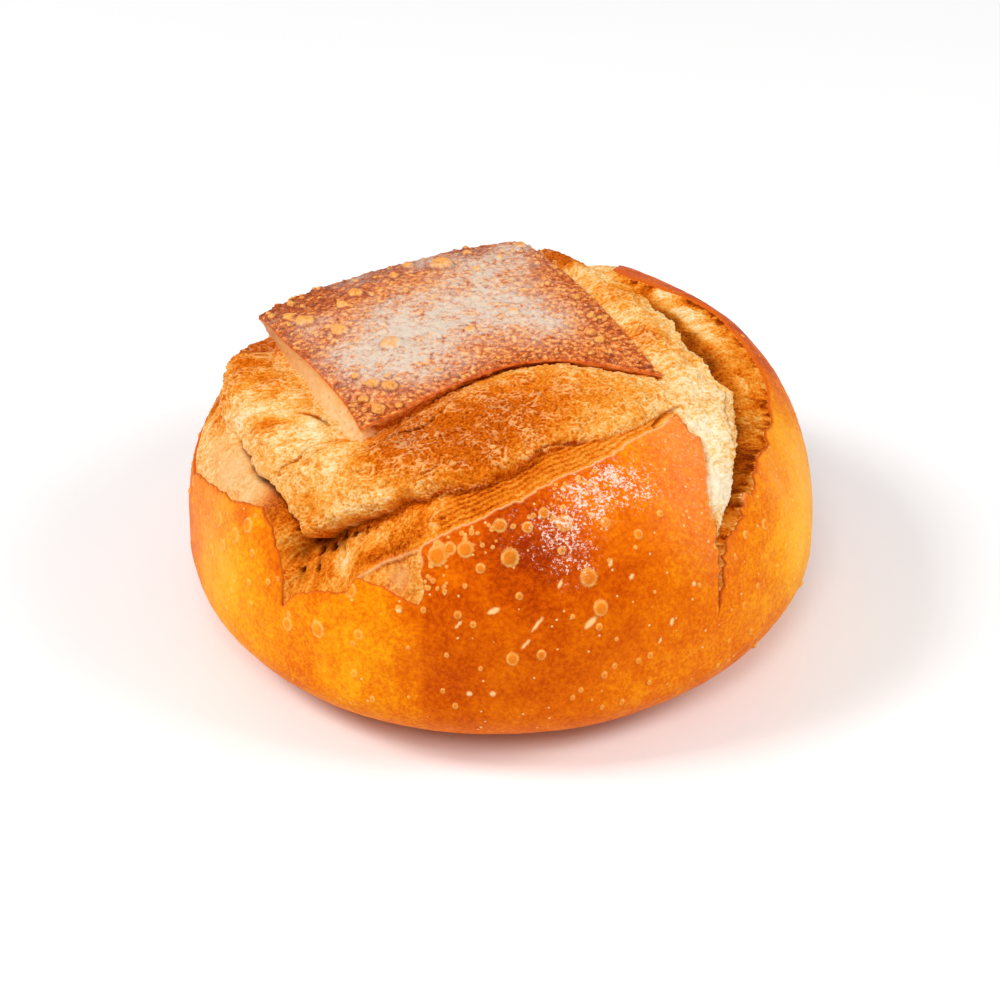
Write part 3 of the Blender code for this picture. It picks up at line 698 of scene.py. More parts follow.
def with_blister_rings(points, table):
    """Map points with the ones at each blister replaced by rings round its centre."""
    tree = point_tree(points)
    kept = np.ones(len(points), bool)
    rings = []
    for x, y, radius, _ in on_map(table):
        for _, index, _ in tree.find_range((x, y, 0.0), 1.18 * radius):
            kept[index] = False
    taken = []
    for x, y, radius, _ in sorted(on_map(table).tolist(), key=lambda row: -row[2]):
        if any(math.hypot(x - a, y - b) < radius + r for a, b, r in taken):
            continue
        taken.append((x, y, radius))
        rings.append([(x, y)])
        for share, count in BLISTER_RINGS:
            angle = np.arange(count) * 2 * math.pi / count + share * 3
            reach = share * radius
            rings.append(
                np.column_stack([x + reach * np.cos(angle), y + reach * np.sin(angle)])
            )
    return np.vstack([points[kept]] + rings)


class Outline:
    """A closed outline on the map that finds its distance to other points."""

    def __init__(self, loop):
        self.loop = loop
        self.tree = point_tree(loop)

    def nearest(self, chart):
        """Distance from each map point, and the outline's values at its nearest place."""
        found = np.array([self.tree.find((p[0], p[1], 0.0))[1] for p in chart])
        best = np.full(len(chart), np.inf)
        values = np.zeros((len(chart), self.loop.shape[1] - 2))
        for neighbour in (-1, 0):
            first = (found + neighbour) % len(self.loop)
            start = self.loop[first]
            span = self.loop[(first + 1) % len(self.loop)] - start
            away = chart[:, :2] - start[:, :2]
            length = (span[:, :2] ** 2).sum(1) + 1e-12
            part = np.clip((away * span[:, :2]).sum(1) / length, 0, 1)[:, None]
            distance = np.linalg.norm(away - part * span[:, :2], axis=1)
            closer = distance < best
            best = np.where(closer, distance, best)
            values[closer] = (start + part * span)[closer, 2:]
        return best, values

    def holds(self, chart):
        """Whether each map point lies inside, worked out in bands of 2 mm."""
        start = self.loop[:, :2]
        end = np.roll(start, -1, axis=0)
        low = np.minimum(start[:, 1], end[:, 1])
        high = np.maximum(start[:, 1], end[:, 1])
        rise = np.where(end[:, 1] == start[:, 1], 1.0, end[:, 1] - start[:, 1])
        slope = (end[:, 0] - start[:, 0]) / rise
        held = np.zeros(len(chart), bool)
        band = np.floor(chart[:, 1] / 2.0).astype(int)
        order = np.argsort(band, kind="stable")
        for rows in np.split(order, np.nonzero(np.diff(band[order]))[0] + 1):
            base = 2.0 * band[rows[0]]
            near = (low <= base + 2.0) & (high >= base)
            x, y = chart[rows, :1], chart[rows, 1:2]
            crosses = (start[near, 1] > y) != (end[near, 1] > y)
            left = x < start[near, 0] + (y - start[near, 1]) * slope[near]
            held[rows] = np.sum(crosses & left, axis=1) % 2 == 1
        return held


def lattice(step, limit):
    """Map points in staggered rows, out to a girth."""
    rows = int(limit / (step * 0.866)) + 1
    columns = int(limit / step) + 1
    row, column = np.mgrid[-rows : rows + 1, -columns : columns + 1]
    x = (column + 0.5 * (row % 2)) * step
    points = np.column_stack([x.ravel(), (row * step * 0.866).ravel()])
    return points[np.hypot(points[:, 0], points[:, 1]) < limit]


def ring(girth, step):
    """Map points round the loaf at one girth."""
    count = round(2 * math.pi * girth / step)
    angle = np.arange(count) * 2 * math.pi / count
    return girth * np.column_stack([np.cos(angle), np.sin(angle)])


def triangulate(loops, points):
    """Triangles between outlines and loose map points, with the outlines kept as edges."""
    edges = []
    count = 0
    for loop in loops:
        edges += [(count + i, count + (i + 1) % len(loop)) for i in range(len(loop))]
        count += len(loop)
    stacked = np.vstack([loop[:, :2] for loop in loops] + [points])
    result = delaunay_2d_cdt([Vector(p) for p in stacked], edges, [], 0, 1e-5)
    return np.array([tuple(p) for p in result[0]]), np.array(result[2])


def border(faces):
    """Directed edges that only one triangle uses."""
    directed = np.vstack([faces[:, [0, 1]], faces[:, [1, 2]], faces[:, [2, 0]]])
    size = int(faces.max()) + 1
    forward = directed[:, 0] * size + directed[:, 1]
    backward = directed[:, 1] * size + directed[:, 0]
    return directed[~np.isin(forward, backward)]


class Shell:
    """Collects the points, faces and per-point values of one closed piece, in mm."""

    def __init__(self):
        self.points = []
        self.faces = []
        self.values = []
        self.count = 0

    def add_points(self, points, **values):
        """Add points and return the number of the first."""
        first = self.count
        self.points.append(points)
        self.values.append(values)
        self.count += len(points)
        return first

    def add_faces(self, faces):
        """Add faces, given as rows of point numbers."""
        self.faces += np.asarray(faces).tolist()

    def add_band(self, edges, upper, lower):
        """Faces between two rows of points, along directed border edges."""
        a, b = edges[:, 0], edges[:, 1]
        self.add_faces(np.column_stack([b + upper, a + upper, a + lower]))
        self.add_faces(np.column_stack([b + upper, a + lower, b + lower]))

    def add_fan(self, edges, centre):
        """Faces from directed edges to one point."""
        self.add_faces(np.column_stack([edges, np.full(len(edges), centre)]))

    def make(self, name, material, shift, names):
        """The finished object, with one value per point for each name."""
        mesh = bpy.data.meshes.new(name)
        points = (np.vstack(self.points) + shift) * MILLIMETRE
        mesh.from_pydata(points.tolist(), [], self.faces)
        for key in names:
            rows = [
                np.broadcast_to(values.get(key, 0.0), len(points))
                for points, values in zip(self.points, self.values)
            ]
            attribute = mesh.attributes.new(key, "FLOAT", "POINT")
            attribute.data.foreach_set("value", np.concatenate(rows).astype(np.float32))
        model = bmesh.new()
        model.from_mesh(mesh)
        loose = [vertex for vertex in model.verts if not vertex.link_faces]
        bmesh.ops.delete(model, geom=loose, context="VERTS")
        bmesh.ops.remove_doubles(model, verts=model.verts, dist=1e-7)
        bmesh.ops.recalc_face_normals(model, faces=model.faces)
        model.to_mesh(mesh)
        model.free()
        mesh.shade_smooth()
        mesh.materials.append(material)
        piece = bpy.data.objects.new(name, mesh)
        bpy.context.scene.collection.objects.link(piece)
        return piece


def torn_rim():
    """The rim of the bowl, with the small teeth of torn crust."""
    loop = trace(RIM_SIDES, OUTLINE_STEP)
    flat = chart_solid(loop)
    torn = between_azimuths(loop, *TORN_RIM_ARC)
    teeth = TEAR_SIZE * rough(flat, 7.0, 40, 3)
    size = 0.4 + 0.4 * torn + 0.8 * torn * ease((girths(loop) - 92.0) / 6.0)
    teeth += size * rough(flat, 2.6, 44, 2)
    calm = np.ones(len(loop))
    for x, y in on_map(RIM_NOTCHES):
        calm *= 1 - np.exp(-((loop[:, 0] - x) ** 2 + (loop[:, 1] - y) ** 2) / 25.0)
    return ragged(loop, teeth * calm)


def torn_groove():
    """Edge of the swollen crumb, frayed on the front and right."""
    loop = trace(GROOVE_SIDES, OUTLINE_STEP)
    flat = chart_solid(loop)
    frayed = between_azimuths(loop, *FRAYED_FRONT_ARC)
    frayed += 0.6 * between_azimuths(loop, *FRAYED_RIGHT_ARC)
    calm = np.ones(len(loop))
    for x, y in on_map(GROOVE_CORNERS):
        calm *= 1 - np.exp(-((loop[:, 0] - x) ** 2 + (loop[:, 1] - y) ** 2) / 16.0)
    return ragged(loop, 0.9 * rough(flat, 3.6, 46, 3) * frayed * calm)


def long_flecks(chart):
    """1 inside the long pale flecks of the crust, soft at their edges."""
    total = np.zeros(len(chart))
    for (x, y), (_, _, length, width, tilt) in zip(
        on_map([fleck[:2] for fleck in CRUST_FLECKS]), CRUST_FLECKS
    ):
        azimuth = math.atan2(y, x)
        east = np.array([-math.sin(azimuth), math.cos(azimuth)])
        down = np.array([math.cos(azimuth), math.sin(azimuth)])
        angle = math.radians(tilt)
        long_way = east * math.cos(angle) - down * math.sin(angle)
        short_way = east * math.sin(angle) + down * math.cos(angle)
        away = chart[:, :2] - (x, y)
        reach = (away @ long_way / (length / 2)) ** 2 + (away @ short_way / (width / 2)) ** 2
        total = np.maximum(total, ease(1.5 - reach))
    return total


def small_crust_blisters(rim):
    """Small blisters all over the front, and a crowd of tiny ones along the ear."""

    def keep(map_points, chance):
        front = between_azimuths(map_points, *BLISTERED_ARC)
        return (~rim.holds(map_points)) & (chance < 0.3 + 0.7 * front)

    def keep_by_ear(map_points, chance):
        gap = rim.nearest(map_points)[0]
        crowd = np.exp(-(((gap - 4.0) / 4.0) ** 2)) * (gap > 1.2)
        return (~rim.holds(map_points)) & (chance < crowd)

    return np.vstack(
        [
            scatter_blisters(
                CRUST_SMALL_BLISTERS, 5, (80.0, 150.0), (0.0, 360.0), (0.6, 1.4), keep
            ),
            scatter_blisters(
                EAR_SMALL_BLISTERS, 6, (68.0, 104.0), (255.0, 300.0), (0.4, 1.0), keep_by_ear
            ),
        ]
    )


def bowl_points(rim, blisters):
    """Map points of the bowl: finest where the camera looks closest, coarse at the back."""
    limit = BASE_GIRTH - BASE_MARGIN
    sets = []
    for number, step in enumerate((*CRUST_STEPS, HIDDEN_STEPS[0])):
        points = lattice(step, min(FRONT_CRUST[2], limit) if number < 2 else limit)
        medium = within(points, FRONT_CRUST) | within(points, RIGHT_CRUST)
        level = np.where(within(points, FINE_CRUST), 0, np.where(medium, 1, 2))
        sets.append(points[level == number])
    points = with_blister_rings(np.vstack(sets), blisters)
    points = points[~rim.holds(points)]
    return points[rim.nearest(points)[0] > 0.6 * OUTLINE_STEP]


def crust_bake(chart, flat, distance):
    """How darkly the crust is baked: 0 golden, 1 brown, darker right of the front seam."""
    bake = 0.48 + patches(chart, CRUST_BAKE) + 0.06 * rough(flat, 18.0, 60, 3)
    azimuth, girth = azimuths(chart), girths(chart)
    seam = ease((azimuth - SEAM_AZIMUTH) / 1.2) * ease((270.0 - azimuth) / 10.0)
    bake += 0.12 * seam * ease((girth - 100.0) / 4.0) * ease((150.0 - girth) / 12.0)
    bake += 0.14 * np.exp(-((distance / 6.0) ** 2)) * between_azimuths(chart, *EAR_DARK_ARC)
    return bake


def crust_thickness(distance):
    """Thickness of the bowl by the distance from its torn rim."""
    return EDGE_THICKNESS + (WEDGE_THICKNESS - EDGE_THICKNESS) * ease(distance / WEDGE_LENGTH)


def lip_lift(distance, values):
    """How far the crust is lifted near its rim, given the rim's nearest values."""
    return values[:, 0] * np.exp(-((distance / LIP_LENGTH) ** 2))


def inside_of_bowl(rim, edge):
    """Map points, faces and depth of the bowl's inner side, which the crumb covers."""
    hidden = lattice(HIDDEN_STEPS[1], BASE_GIRTH - 6.0)
    hidden = hidden[rim.nearest(hidden)[0] > 9.0]
    near_rim = lattice(INNER_RIM_STEP, INNER_RIM_REACH)
    gap = rim.nearest(near_rim)[0]
    near_rim = near_rim[(gap > 0.8) & (gap < 7.0)]
    loose = np.vstack([near_rim, hidden])
    chart, faces = triangulate([rim.loop, edge], loose[~rim.holds(loose)])
    faces = faces[~rim.holds(chart[faces].mean(axis=1))]
    distance, values = rim.nearest(chart)
    return chart, faces, crust_thickness(distance) - lip_lift(distance, values)


def make_bowl(rim, material, shift):
    """Outer crust: a shell with a flat base, thin at its torn rim and thick below it."""
    blisters = np.vstack([np.array(CRUST_BLISTERS), small_crust_blisters(rim)])
    edge = ring(BASE_GIRTH, HIDDEN_STEPS[0])
    chart, faces = triangulate([rim.loop, edge], bowl_points(rim, blisters))
    faces = faces[~rim.holds(chart[faces].mean(axis=1))]
    distance, values = rim.nearest(chart)
    flat = place(chart, 0.0)
    height, blister = domes(chart, blisters)
    girth = girths(chart)
    relief = 1.25 * height + 0.4 * waves(flat, 26.0, 3) + 0.14 * rough(flat, 6.0, 9, 3)
    relief += 0.05 * waves(flat, 1.9, 21)
    lift = lip_lift(distance, values)
    rounding = EDGE_ROUNDING * (1 - ease(distance / ROUNDING_WIDTH))
    outer = place(chart, rounding - lift - relief * ease((BASE_GIRTH - girth) / 12.0))
    outer[girth > BASE_GIRTH - 0.5, 2] = 0.0
    bake = crust_bake(chart, flat, distance)
    ear = between_azimuths(chart, *EAR_ARC) * ease((100.0 - girth) / 5.0)
    shell = Shell()
    skin = shell.add_points(
        outer,
        bake=bake,
        bloom=patches(chart, CRUST_BLOOM),
        flour=patches(chart, CRUST_FLOUR),
        blister=blister,
        fleck=long_flecks(chart),
        edge=1 - ease(distance / (0.5 + 0.3 * ear)),
        ear=ear,
    )
    shell.add_faces(faces + skin)
    edges = border(faces)
    at_base = girth[edges].min(axis=1) > BASE_GIRTH - 1.0
    last = skin
    for part in TORN_WALL_ROWS:
        depth = rounding * (1 - part) + part * crust_thickness(distance) - lift
        row = shell.add_points(place(chart, depth), bake=bake, edge=1.0, ear=ear)
        shell.add_band(edges[~at_base], last, row)
        last = row
    inner_chart, inner_faces, depth = inside_of_bowl(rim, edge)
    inside = shell.add_points(place(inner_chart, depth), edge=1.0, bake=0.5)
    shell.add_faces(inner_faces[:, ::-1] + inside)
    under = shell.add_points(np.array([[0.0, 0.0, 0.0]]), bake=0.6)
    shell.add_fan(edges[at_base][:, ::-1] + skin, under)
    inner_edges = border(inner_faces)
    far = girths(inner_chart)[inner_edges[:, 0]] > BASE_GIRTH - 1.0
    over = shell.add_points(np.array([[0.0, 0.0, WEDGE_THICKNESS]]))
    shell.add_fan(inner_edges[far] + inside, over)
    names = ("bake", "bloom", "flour", "blister", "fleck", "edge", "ear")
    return shell.make("crust_bowl", material, shift, names)


def lid_blisters(outline):
    """The lid's larger blisters, and small ones that crowd towards its edge."""

    def keep(map_points, chance):
        gap, _ = outline.nearest(map_points)
        dusted = patches(map_points, LID_FLOUR)
        crowd = np.exp(-((gap / 11.0) ** 2)) * 0.9 + 0.10
        return outline.holds(map_points) & (gap > 0.8) & (chance < crowd * (1.1 - 0.4 * dusted))

    small = scatter_blisters(
        LID_SMALL_BLISTERS, 8, (5.0, 96.0), (0.0, 360.0), (0.45, 1.3), keep
    )
    return np.vstack([np.array(LID_BLISTERS), small])


def add_lid_walls(shell, chart, edges, skin, rounding, values, middle):
    """The cut and torn side walls of the lid, down to the bottom of its block."""
    lift, step, _, lean = values.T
    outward = chart - middle
    outward /= np.linalg.norm(outward, axis=1)[:, None] + 1e-9
    # The cut side is also the lit side: its pale colour is partly the raw cut crumb and partly painted
    # light, the darker torn sides partly painted shade
    clean = between_azimuths(chart, *LID_CUT_ARC)
    # Share of the cut wall's colour left without painted shade; towards the back it takes the painted
    # shade colour
    raw = ease((azimuths(chart) - 172.0) / 36.0)
    foot = step + 1.5
    last = skin
    for row in range(1, LID_WALL_ROWS + 1):
        part = row / LID_WALL_ROWS
        reach = lean * (part * foot / step) ** 1.5
        side = chart + outward * reach[:, None]
        depth = rounding - lift * (1 - part) + part * foot
        flat = place(side, depth)
        dents = (0.8 - 0.35 * clean) * rough(flat, 2.6, 70, 3) * min(1, part * 3)
        wall = place(side + outward * dents[:, None], depth)
        tone = part + 0.2 * rough(flat, 5.0, 71, 3)
        first = shell.add_points(wall, wall=min(1.0, part * 5.0), drop=tone, clean=clean, raw=raw)
        shell.add_band(edges, last, first)
        last = first
    deep = shell.add_points(place(chart - 4.0 * outward, LID_BLOCK_DEPTH), wall=1.0)
    shell.add_band(edges, last, deep)
    bottom = shell.add_points(place(middle[None], LID_BLOCK_DEPTH), wall=1.0)
    shell.add_fan(edges[:, ::-1] + deep, bottom)


def make_lid(outline, material, shift):
    """The square of crust on top, a block with cut side walls, blistered and floured."""
    blisters = lid_blisters(outline)
    points = with_blister_rings(lattice(LID_STEP, LID_REACH), LID_BLISTERS)
    points = points[outline.holds(points)]
    points = points[outline.nearest(points)[0] > 0.5 * LID_STEP]
    chart, faces = triangulate([outline.loop], points)
    faces = faces[outline.holds(chart[faces].mean(axis=1))]
    distance, values = outline.nearest(chart)
    flat = place(chart, 0.0)
    height, blister = domes(chart, blisters)
    scales = ridges(flat, 2.0, 33)
    relief = 2.3 * height + 0.6 * waves(flat, 15.0, 2) + 0.35 * rough(flat, 2.8, 30, 3)
    relief += 0.3 * scales * (1 - 0.5 * ease(distance / 14.0))
    raised = values[:, 0] * np.exp(-((distance / LIFT_LENGTH) ** 2))
    rounding = EDGE_ROUNDING * (1 - ease(distance / ROUNDING_WIDTH))
    top = place(chart, rounding - raised - relief * ease(distance / 1.0))
    dark = 0.18 * np.exp(-((distance / 10.0) ** 2)) + 0.12 * rough(flat, 8.0, 31, 3)
    dark += 0.3 * between_azimuths(chart, *LID_BACK_ARC) * ease((girths(chart) - 48) / 16)
    shell = Shell()
    skin = shell.add_points(
        top,
        flour=patches(chart, LID_FLOUR),
        blister=blister,
        bake=0.5 + dark - 0.18 * scales,
        edge=1 - ease(distance / 0.9),
    )
    shell.add_faces(faces + skin)
    middle = chart[outline.holds(chart)].mean(axis=0)
    add_lid_walls(shell, chart, border(faces), skin, rounding, values, middle)
    names = ("flour", "blister", "bake", "edge", "wall", "drop", "clean", "raw")
    return shell.make("crust_lid", material, shift, names)


def crumb_points(rim, outline):
    """Map points of the crumb: fine where it shows in front, coarse where it is covered."""
    sets = []
    for number, step in enumerate((CRUMB_STEP, BACK_CRUMB_STEP)):
        points = lattice(step, CRUMB_REACH)
        azimuth = azimuths(points)
        front = (azimuth > 158.0) | (azimuth < 76.0)
        points = points[front if number == 0 else ~front]
        bare = rim.holds(points) | (rim.nearest(points)[0] < 1.0)
        bare &= ~(outline.holds(points) & (outline.nearest(points)[0] > 2.0))
        sets.append(points[bare])
    points = lattice(HIDDEN_STEPS[1], BASE_GIRTH - 6.0)
    covered = ~rim.holds(points) | outline.holds(points)
    covered &= (rim.nearest(points)[0] > 4.0) & (outline.nearest(points)[0] > 4.0)
    return np.vstack(sets + [points[covered]])


def crumb_form(chart, rim, outline, groove):
    """Depth of the crumb below the full round of the loaf, and what shapes it there."""
    from_lid, lid_values = outline.nearest(chart)
    from_groove, groove_values = groove.nearest(chart)
    from_rim, rim_values = rim.nearest(chart)
    below_lid = outline.holds(chart)
    swollen = groove.holds(chart)
    open_crumb = rim.holds(chart)
    _, step, slope, lean = lid_values.T
    deep, rounding = groove_values.T
    drop = step * (1 - ease((from_lid - lean) / slope))
    roll = deep * (1 - np.sqrt(1 - (1 - np.clip(from_groove / rounding, 0, 1)) ** 2))
    bulge = CRUMB_BULGE * ease(np.minimum(from_lid, from_groove) / BULGE_WIDTH)
    crown = drop + roll - bulge
    at_rim = CRUMB_AT_RIM - rim_values[:, 0]
    share = from_groove / (from_groove + from_rim + 1e-6)
    wall = deep * (1 - share) + at_rim * share
    covered = at_rim + (CRUMB_COVER - at_rim) * ease(from_rim / 5.0)
    depth = np.where(swollen, crown, np.where(open_crumb, wall, covered))
    depth = np.where(below_lid, step + LID_BELOW_STEP, depth)
    bumps = np.array(
        [noise.fractal(Vector((*p, 0.0)) / BUMP_SIZE, 1.0, 2.0, 2) for p in chart]
    )
    calm = ease(np.minimum(from_lid, from_rim) / 6.0) * open_crumb * ~below_lid
    steep = np.where(swollen, 0.0, deep / (from_groove + from_rim + 0.5))
    return depth + BUMP_HEIGHT * bumps * calm, {
        "from_rim": from_rim,
        "from_lid": from_lid,
        "from_groove": from_groove,
        "lean": lean,
        "swollen": swollen,
        "open": open_crumb & ~below_lid,
        "calm": 1 / (1 + (steep / 0.9) ** 2),
    }


def in_gap(chart, form):
    """1 in the open gap on the right, beyond the ear's own strip of crumb."""
    azimuth = azimuths(chart)
    by_ear = (azimuth > 300.0) & (azimuth < 346.0)
    beyond = np.where(by_ear, ease((girths(chart) - 75.0) / 4.0), 1.0)
    gap = between_azimuths(chart, *GAP_ARC) * beyond
    return gap * (~form["swollen"]) * form["open"]


def on_strip(chart, form):
    """1 on the strip of crumb between the groove and the ear."""
    azimuth = azimuths(chart)
    short = np.where(azimuth > 312.0, ease((79.0 - girths(chart)) / 4.0), 1.0)
    strip = between_azimuths(chart, *STRIP_ARC) * short
    return strip * (~form["swollen"]) * form["open"]


def in_pit(chart, form):
    """1 in the torn pit at the front, below the swollen crumb."""
    return between_azimuths(chart, *PIT_ARC) * (~form["swollen"])


def gap_toast(chart, form, lumps):
    """Extra toasting in the gap on the right, the petal's orange wall, with painted shade in the cleft
    and painted highlight on raised lumps.
    """
    gap = in_gap(chart, form)
    low = between_azimuths(chart, *GAP_LOW_ARC)
    cleft = np.clip(along_paths(chart, GAP_DARK) * (1 + 0.5 * lumps), 0, 1)
    near_rim = np.exp(-((form["from_rim"] / 1.8) ** 2))
    scorched = near_rim * ease(0.5 + 1.6 * waves(chart_solid(chart), 3.5, 64))
    pale = np.clip(along_paths(chart, PETAL_PALE) * (1 + 0.7 * lumps), 0, 1)
    # Painted shade darkens the cleft and painted highlight lightens the raised lumps; the second value is
    # the cleft's painted shade
    extra = 0.24 + 0.04 * low + 0.2 * cleft + 0.40 * scorched - 0.16 * lumps
    return gap * (extra * (1 - pale) - 0.10 * pale), gap * cleft * (1 - 0.7 * pale)


def crumb_toast(chart, solid, form, curls, cracks, pits):
    """How toasted the crumb is, with painted shade added in its pit, cracks, holes and creases: 0 raw and
    pale, 0.6 golden brown, 1 dark.
    """
    toast = 0.33 + patches(chart, CRUMB_TOAST)
    toast += 0.05 * rough(solid, 7.0, 61, 2) + 0.07 * rough(solid, 2.6, 65, 2)
    strip = on_strip(chart, form)
    # Painted shade between the curly strands and painted highlight on them
    toast += 0.30 * (0.45 - curls) * (1 - 0.6 * strip)
    swollen, open_crumb = form["swollen"], form["open"]
    front = between_azimuths(chart, *FRONT_LIP_ARC)
    lip = np.exp(-((form["from_groove"] / 1.6) ** 2))
    toast += 0.20 * lip * swollen * front
    pit = in_pit(chart, form)
    # Painted shade: darker in the pit, most under the swollen crumb's overhanging edge
    toast += 0.24 * pit + 0.40 * np.exp(-((form["from_groove"] / 2.2) ** 2)) * pit
    toast += 0.21 * strip
    # Painted shade along the foot of the lid's wall, less on the left face
    foot = np.exp(-(((form["from_lid"] - np.maximum(form["lean"], 0)) / 1.0) ** 2))
    left = between_azimuths(chart, *LEFT_FACE_ARC)
    toast += (0.20 - 0.12 * left) * foot * open_crumb
    gap = in_gap(chart, form)
    toast = np.where(gap > 0.5, toast, np.minimum(toast, 0.82))
    # Painted shade in cracks and holes
    return toast + 0.26 * ease((cracks + pits) / 2.0)


def make_crumb(rim, outline, groove, material, shift):
    """The crumb: fills the bowl, carries the lid, and swells up between the two."""
    edge = ring(BASE_GIRTH, HIDDEN_STEPS[1])
    chart, faces = triangulate([edge], crumb_points(rim, outline))
    depth, form = crumb_form(chart, rim, outline, groove)
    flat = place(chart, 0.0)
    solid = np.column_stack([flat[:, :2], flat[:, 2] - depth])
    visible = form["open"]
    torn = ease(form["from_rim"] / 1.6) * visible * form["calm"]
    amount = np.clip(0.85 + 0.6 * waves(solid, 7.0, 76), 0.35, 1)
    fibre = np.maximum(swirls(solid, 2.0, 50), 0.85 * swirls(solid, 1.3, 70)) * amount
    smooth_face = np.clip(patches(chart, SMOOTH_FACES), 0, 1)
    strip = on_strip(chart, form)
    gap = in_gap(chart, form)
    ruts = np.sin(form["from_rim"] * 3.6 + 1.6 * waves(solid, 6.0, 57))
    relief = 0.75 * fibre * (1 - 0.85 * strip)
    relief += 0.55 * rough(solid, 3.0, 58, 3) * (1 - 0.5 * strip)
    relief = relief * (1 - 0.8 * smooth_face) + 0.24 * ruts * strip
    lumps = rough(solid, 7.0, 63, 2)
    relief += 1.6 * gap * lumps * ease(form["from_rim"] / 3.0)
    relief += np.clip(patches(chart, CRAGS), 0, 1) * (2.4 * ridges(solid, 6.0, 36) - 0.6)
    cracks = along_paths(chart, CRACKS)
    crests = along_paths(chart, RIDGES)
    warped = chart + 1.2 * np.column_stack([waves(solid, 2.0, seed) for seed in (91, 92)])
    pits = domes(warped, HOLES)[0]
    depth = depth - torn * (relief - 0.35) + visible * (cracks + pits - crests)
    toast = crumb_toast(chart, solid, form, fibre, cracks, pits)
    extra, cleft = gap_toast(chart, form, lumps)
    shell = Shell()
    skin = shell.add_points(
        place(chart, depth),
        # Painted shade and highlight: darker in the ruts of the ear strip, lighter on their ridges
        toast=toast + extra - 0.12 * ruts * strip,
        # Pale torn strands, partly painted highlight on their crests
        wisp=fibre * (1 - 0.7 * strip) * (1 - 0.5 * gap) * (1 - 0.6 * in_pit(chart, form)),
        face=smooth_face,
        crest=along_paths(chart, RIDGES[:1]),
        # Painted shade in the cracks and holes, the cleft on the right and the pit in front
        hollow=np.maximum(
            ease((cracks * 0.8 + pits) / 2.4),
            0.85 * cleft + 0.8 * patches(warped, PIT_DARK) * form["open"] * ~form["swollen"],
        ),
    )
    shell.add_faces(faces + skin)
    bottom = shell.add_points(np.array([[0.0, 0.0, CRUMB_COVER]]))
    shell.add_fan(border(faces)[:, ::-1] + skin, bottom)
    names = ("toast", "wisp", "face", "crest", "hollow")
    return shell.make("crumb", material, shift, names)


class Nodes:
    """Short ways to add the nodes of one material."""

    def __init__(self, name):
        self.material = bpy.data.materials.new(name)
        self.material.use_nodes = True
        self.tree = self.material.node_tree
        self.surface = self.tree.nodes["Principled BSDF"]
        self.place = self.tree.nodes.new("ShaderNodeTexCoord").outputs["Object"]

    def link(self, source, socket):
        """Feed a socket with a number, an sRGB colour or another node's output."""
        if isinstance(source, (int, float)):
            socket.default_value = source
        elif isinstance(source, tuple):
            socket.default_value = linear(source)
        else:
            self.tree.links.new(source, socket)

    def value(self, name):
        """A value that the mesh carries at each point."""
        node = self.tree.nodes.new("ShaderNodeAttribute")
        node.attribute_name = name
        return node.outputs["Fac"]

    def math(self, operation, first, second=0.0):
        """The result of one operation on two values."""
        node = self.tree.nodes.new("ShaderNodeMath")
        node.operation = operation
        self.link(first, node.inputs[0])
        self.link(second, node.inputs[1])
        return node.outputs[0]

    def times(self, first, second):
        """The product of two values."""
        return self.math("MULTIPLY", first, second)

    def add(self, first, *others):
        """The sum of values."""
        for other in others:
            first = self.math("ADD", first, other)
        return first

    def grain(self, size, detail=3.0, roughness=0.55):
        """Noise with features of a size in mm."""
        node = self.tree.nodes.new("ShaderNodeTexNoise")
        node.inputs["Scale"].default_value = 1000.0 / size
        node.inputs["Detail"].default_value = detail
        node.inputs["Roughness"].default_value = roughness
        self.link(self.place, node.inputs["Vector"])
        return node.outputs["Fac"]

    def cells(self, size):
        """Distance to the nearest of scattered points, spaced by a size in mm."""
        node = self.tree.nodes.new("ShaderNodeTexVoronoi")
        node.inputs["Scale"].default_value = 1000.0 / size
        self.link(self.place, node.inputs["Vector"])
        return node.outputs["Distance"]

    def between(self, value, low, high, start=0.0, end=1.0):
        """Map a value smoothly from one range to another."""
        node = self.tree.nodes.new("ShaderNodeMapRange")
        node.interpolation_type = "SMOOTHSTEP"
        self.link(value, node.inputs["Value"])
        node.inputs["From Min"].default_value = low
        node.inputs["From Max"].default_value = high
        node.inputs["To Min"].default_value = start
        node.inputs["To Max"].default_value = end
        return node.outputs["Result"]

    def ramp(self, value, stops):
        """Colour by value, from stops of position and sRGB colour."""
        node = self.tree.nodes.new("ShaderNodeValToRGB")
        elements = node.color_ramp.elements
        while len(elements) < len(stops):
            elements.new(0.5)
        for element, (position, colour) in zip(elements, stops):
            element.position = position
            element.color = linear(colour)
        self.link(value, node.inputs["Fac"])
        return node.outputs["Color"]

    def mix(self, share, first, second):
        """Blend two colours; a plain colour is given in sRGB."""
        node = self.tree.nodes.new("ShaderNodeMix")
        node.data_type = "RGBA"
        self.link(share, node.inputs[0])
        self.link(first, node.inputs[6])
        self.link(second, node.inputs[7])
        return node.outputs[2]

    def soften(self, level, tint):
        """Weak, tinted highlights, as an oily or floury surface has."""
        self.surface.inputs["Specular IOR Level"].default_value = level
        self.surface.inputs["Specular Tint"].default_value = (*tint, 1.0)

    def bump(self, height, strength, distance):
        """Fine grain of the surface, too small for the mesh."""
        node = self.tree.nodes.new("ShaderNodeBump")
        node.inputs["Strength"].default_value = strength
        node.inputs["Distance"].default_value = distance
        self.link(height, node.inputs["Height"])
        self.tree.links.new(node.outputs["Normal"], self.surface.inputs["Normal"])


def linear(colour):
    """An sRGB colour of 0 to 255 as the linear colour that a shader takes."""
    parts = [part / 255 for part in colour]
    return (*[p / 12.92 if p <= 0.04045 else ((p + 0.055) / 1.055) ** 2.4 for p in parts], 1.0)


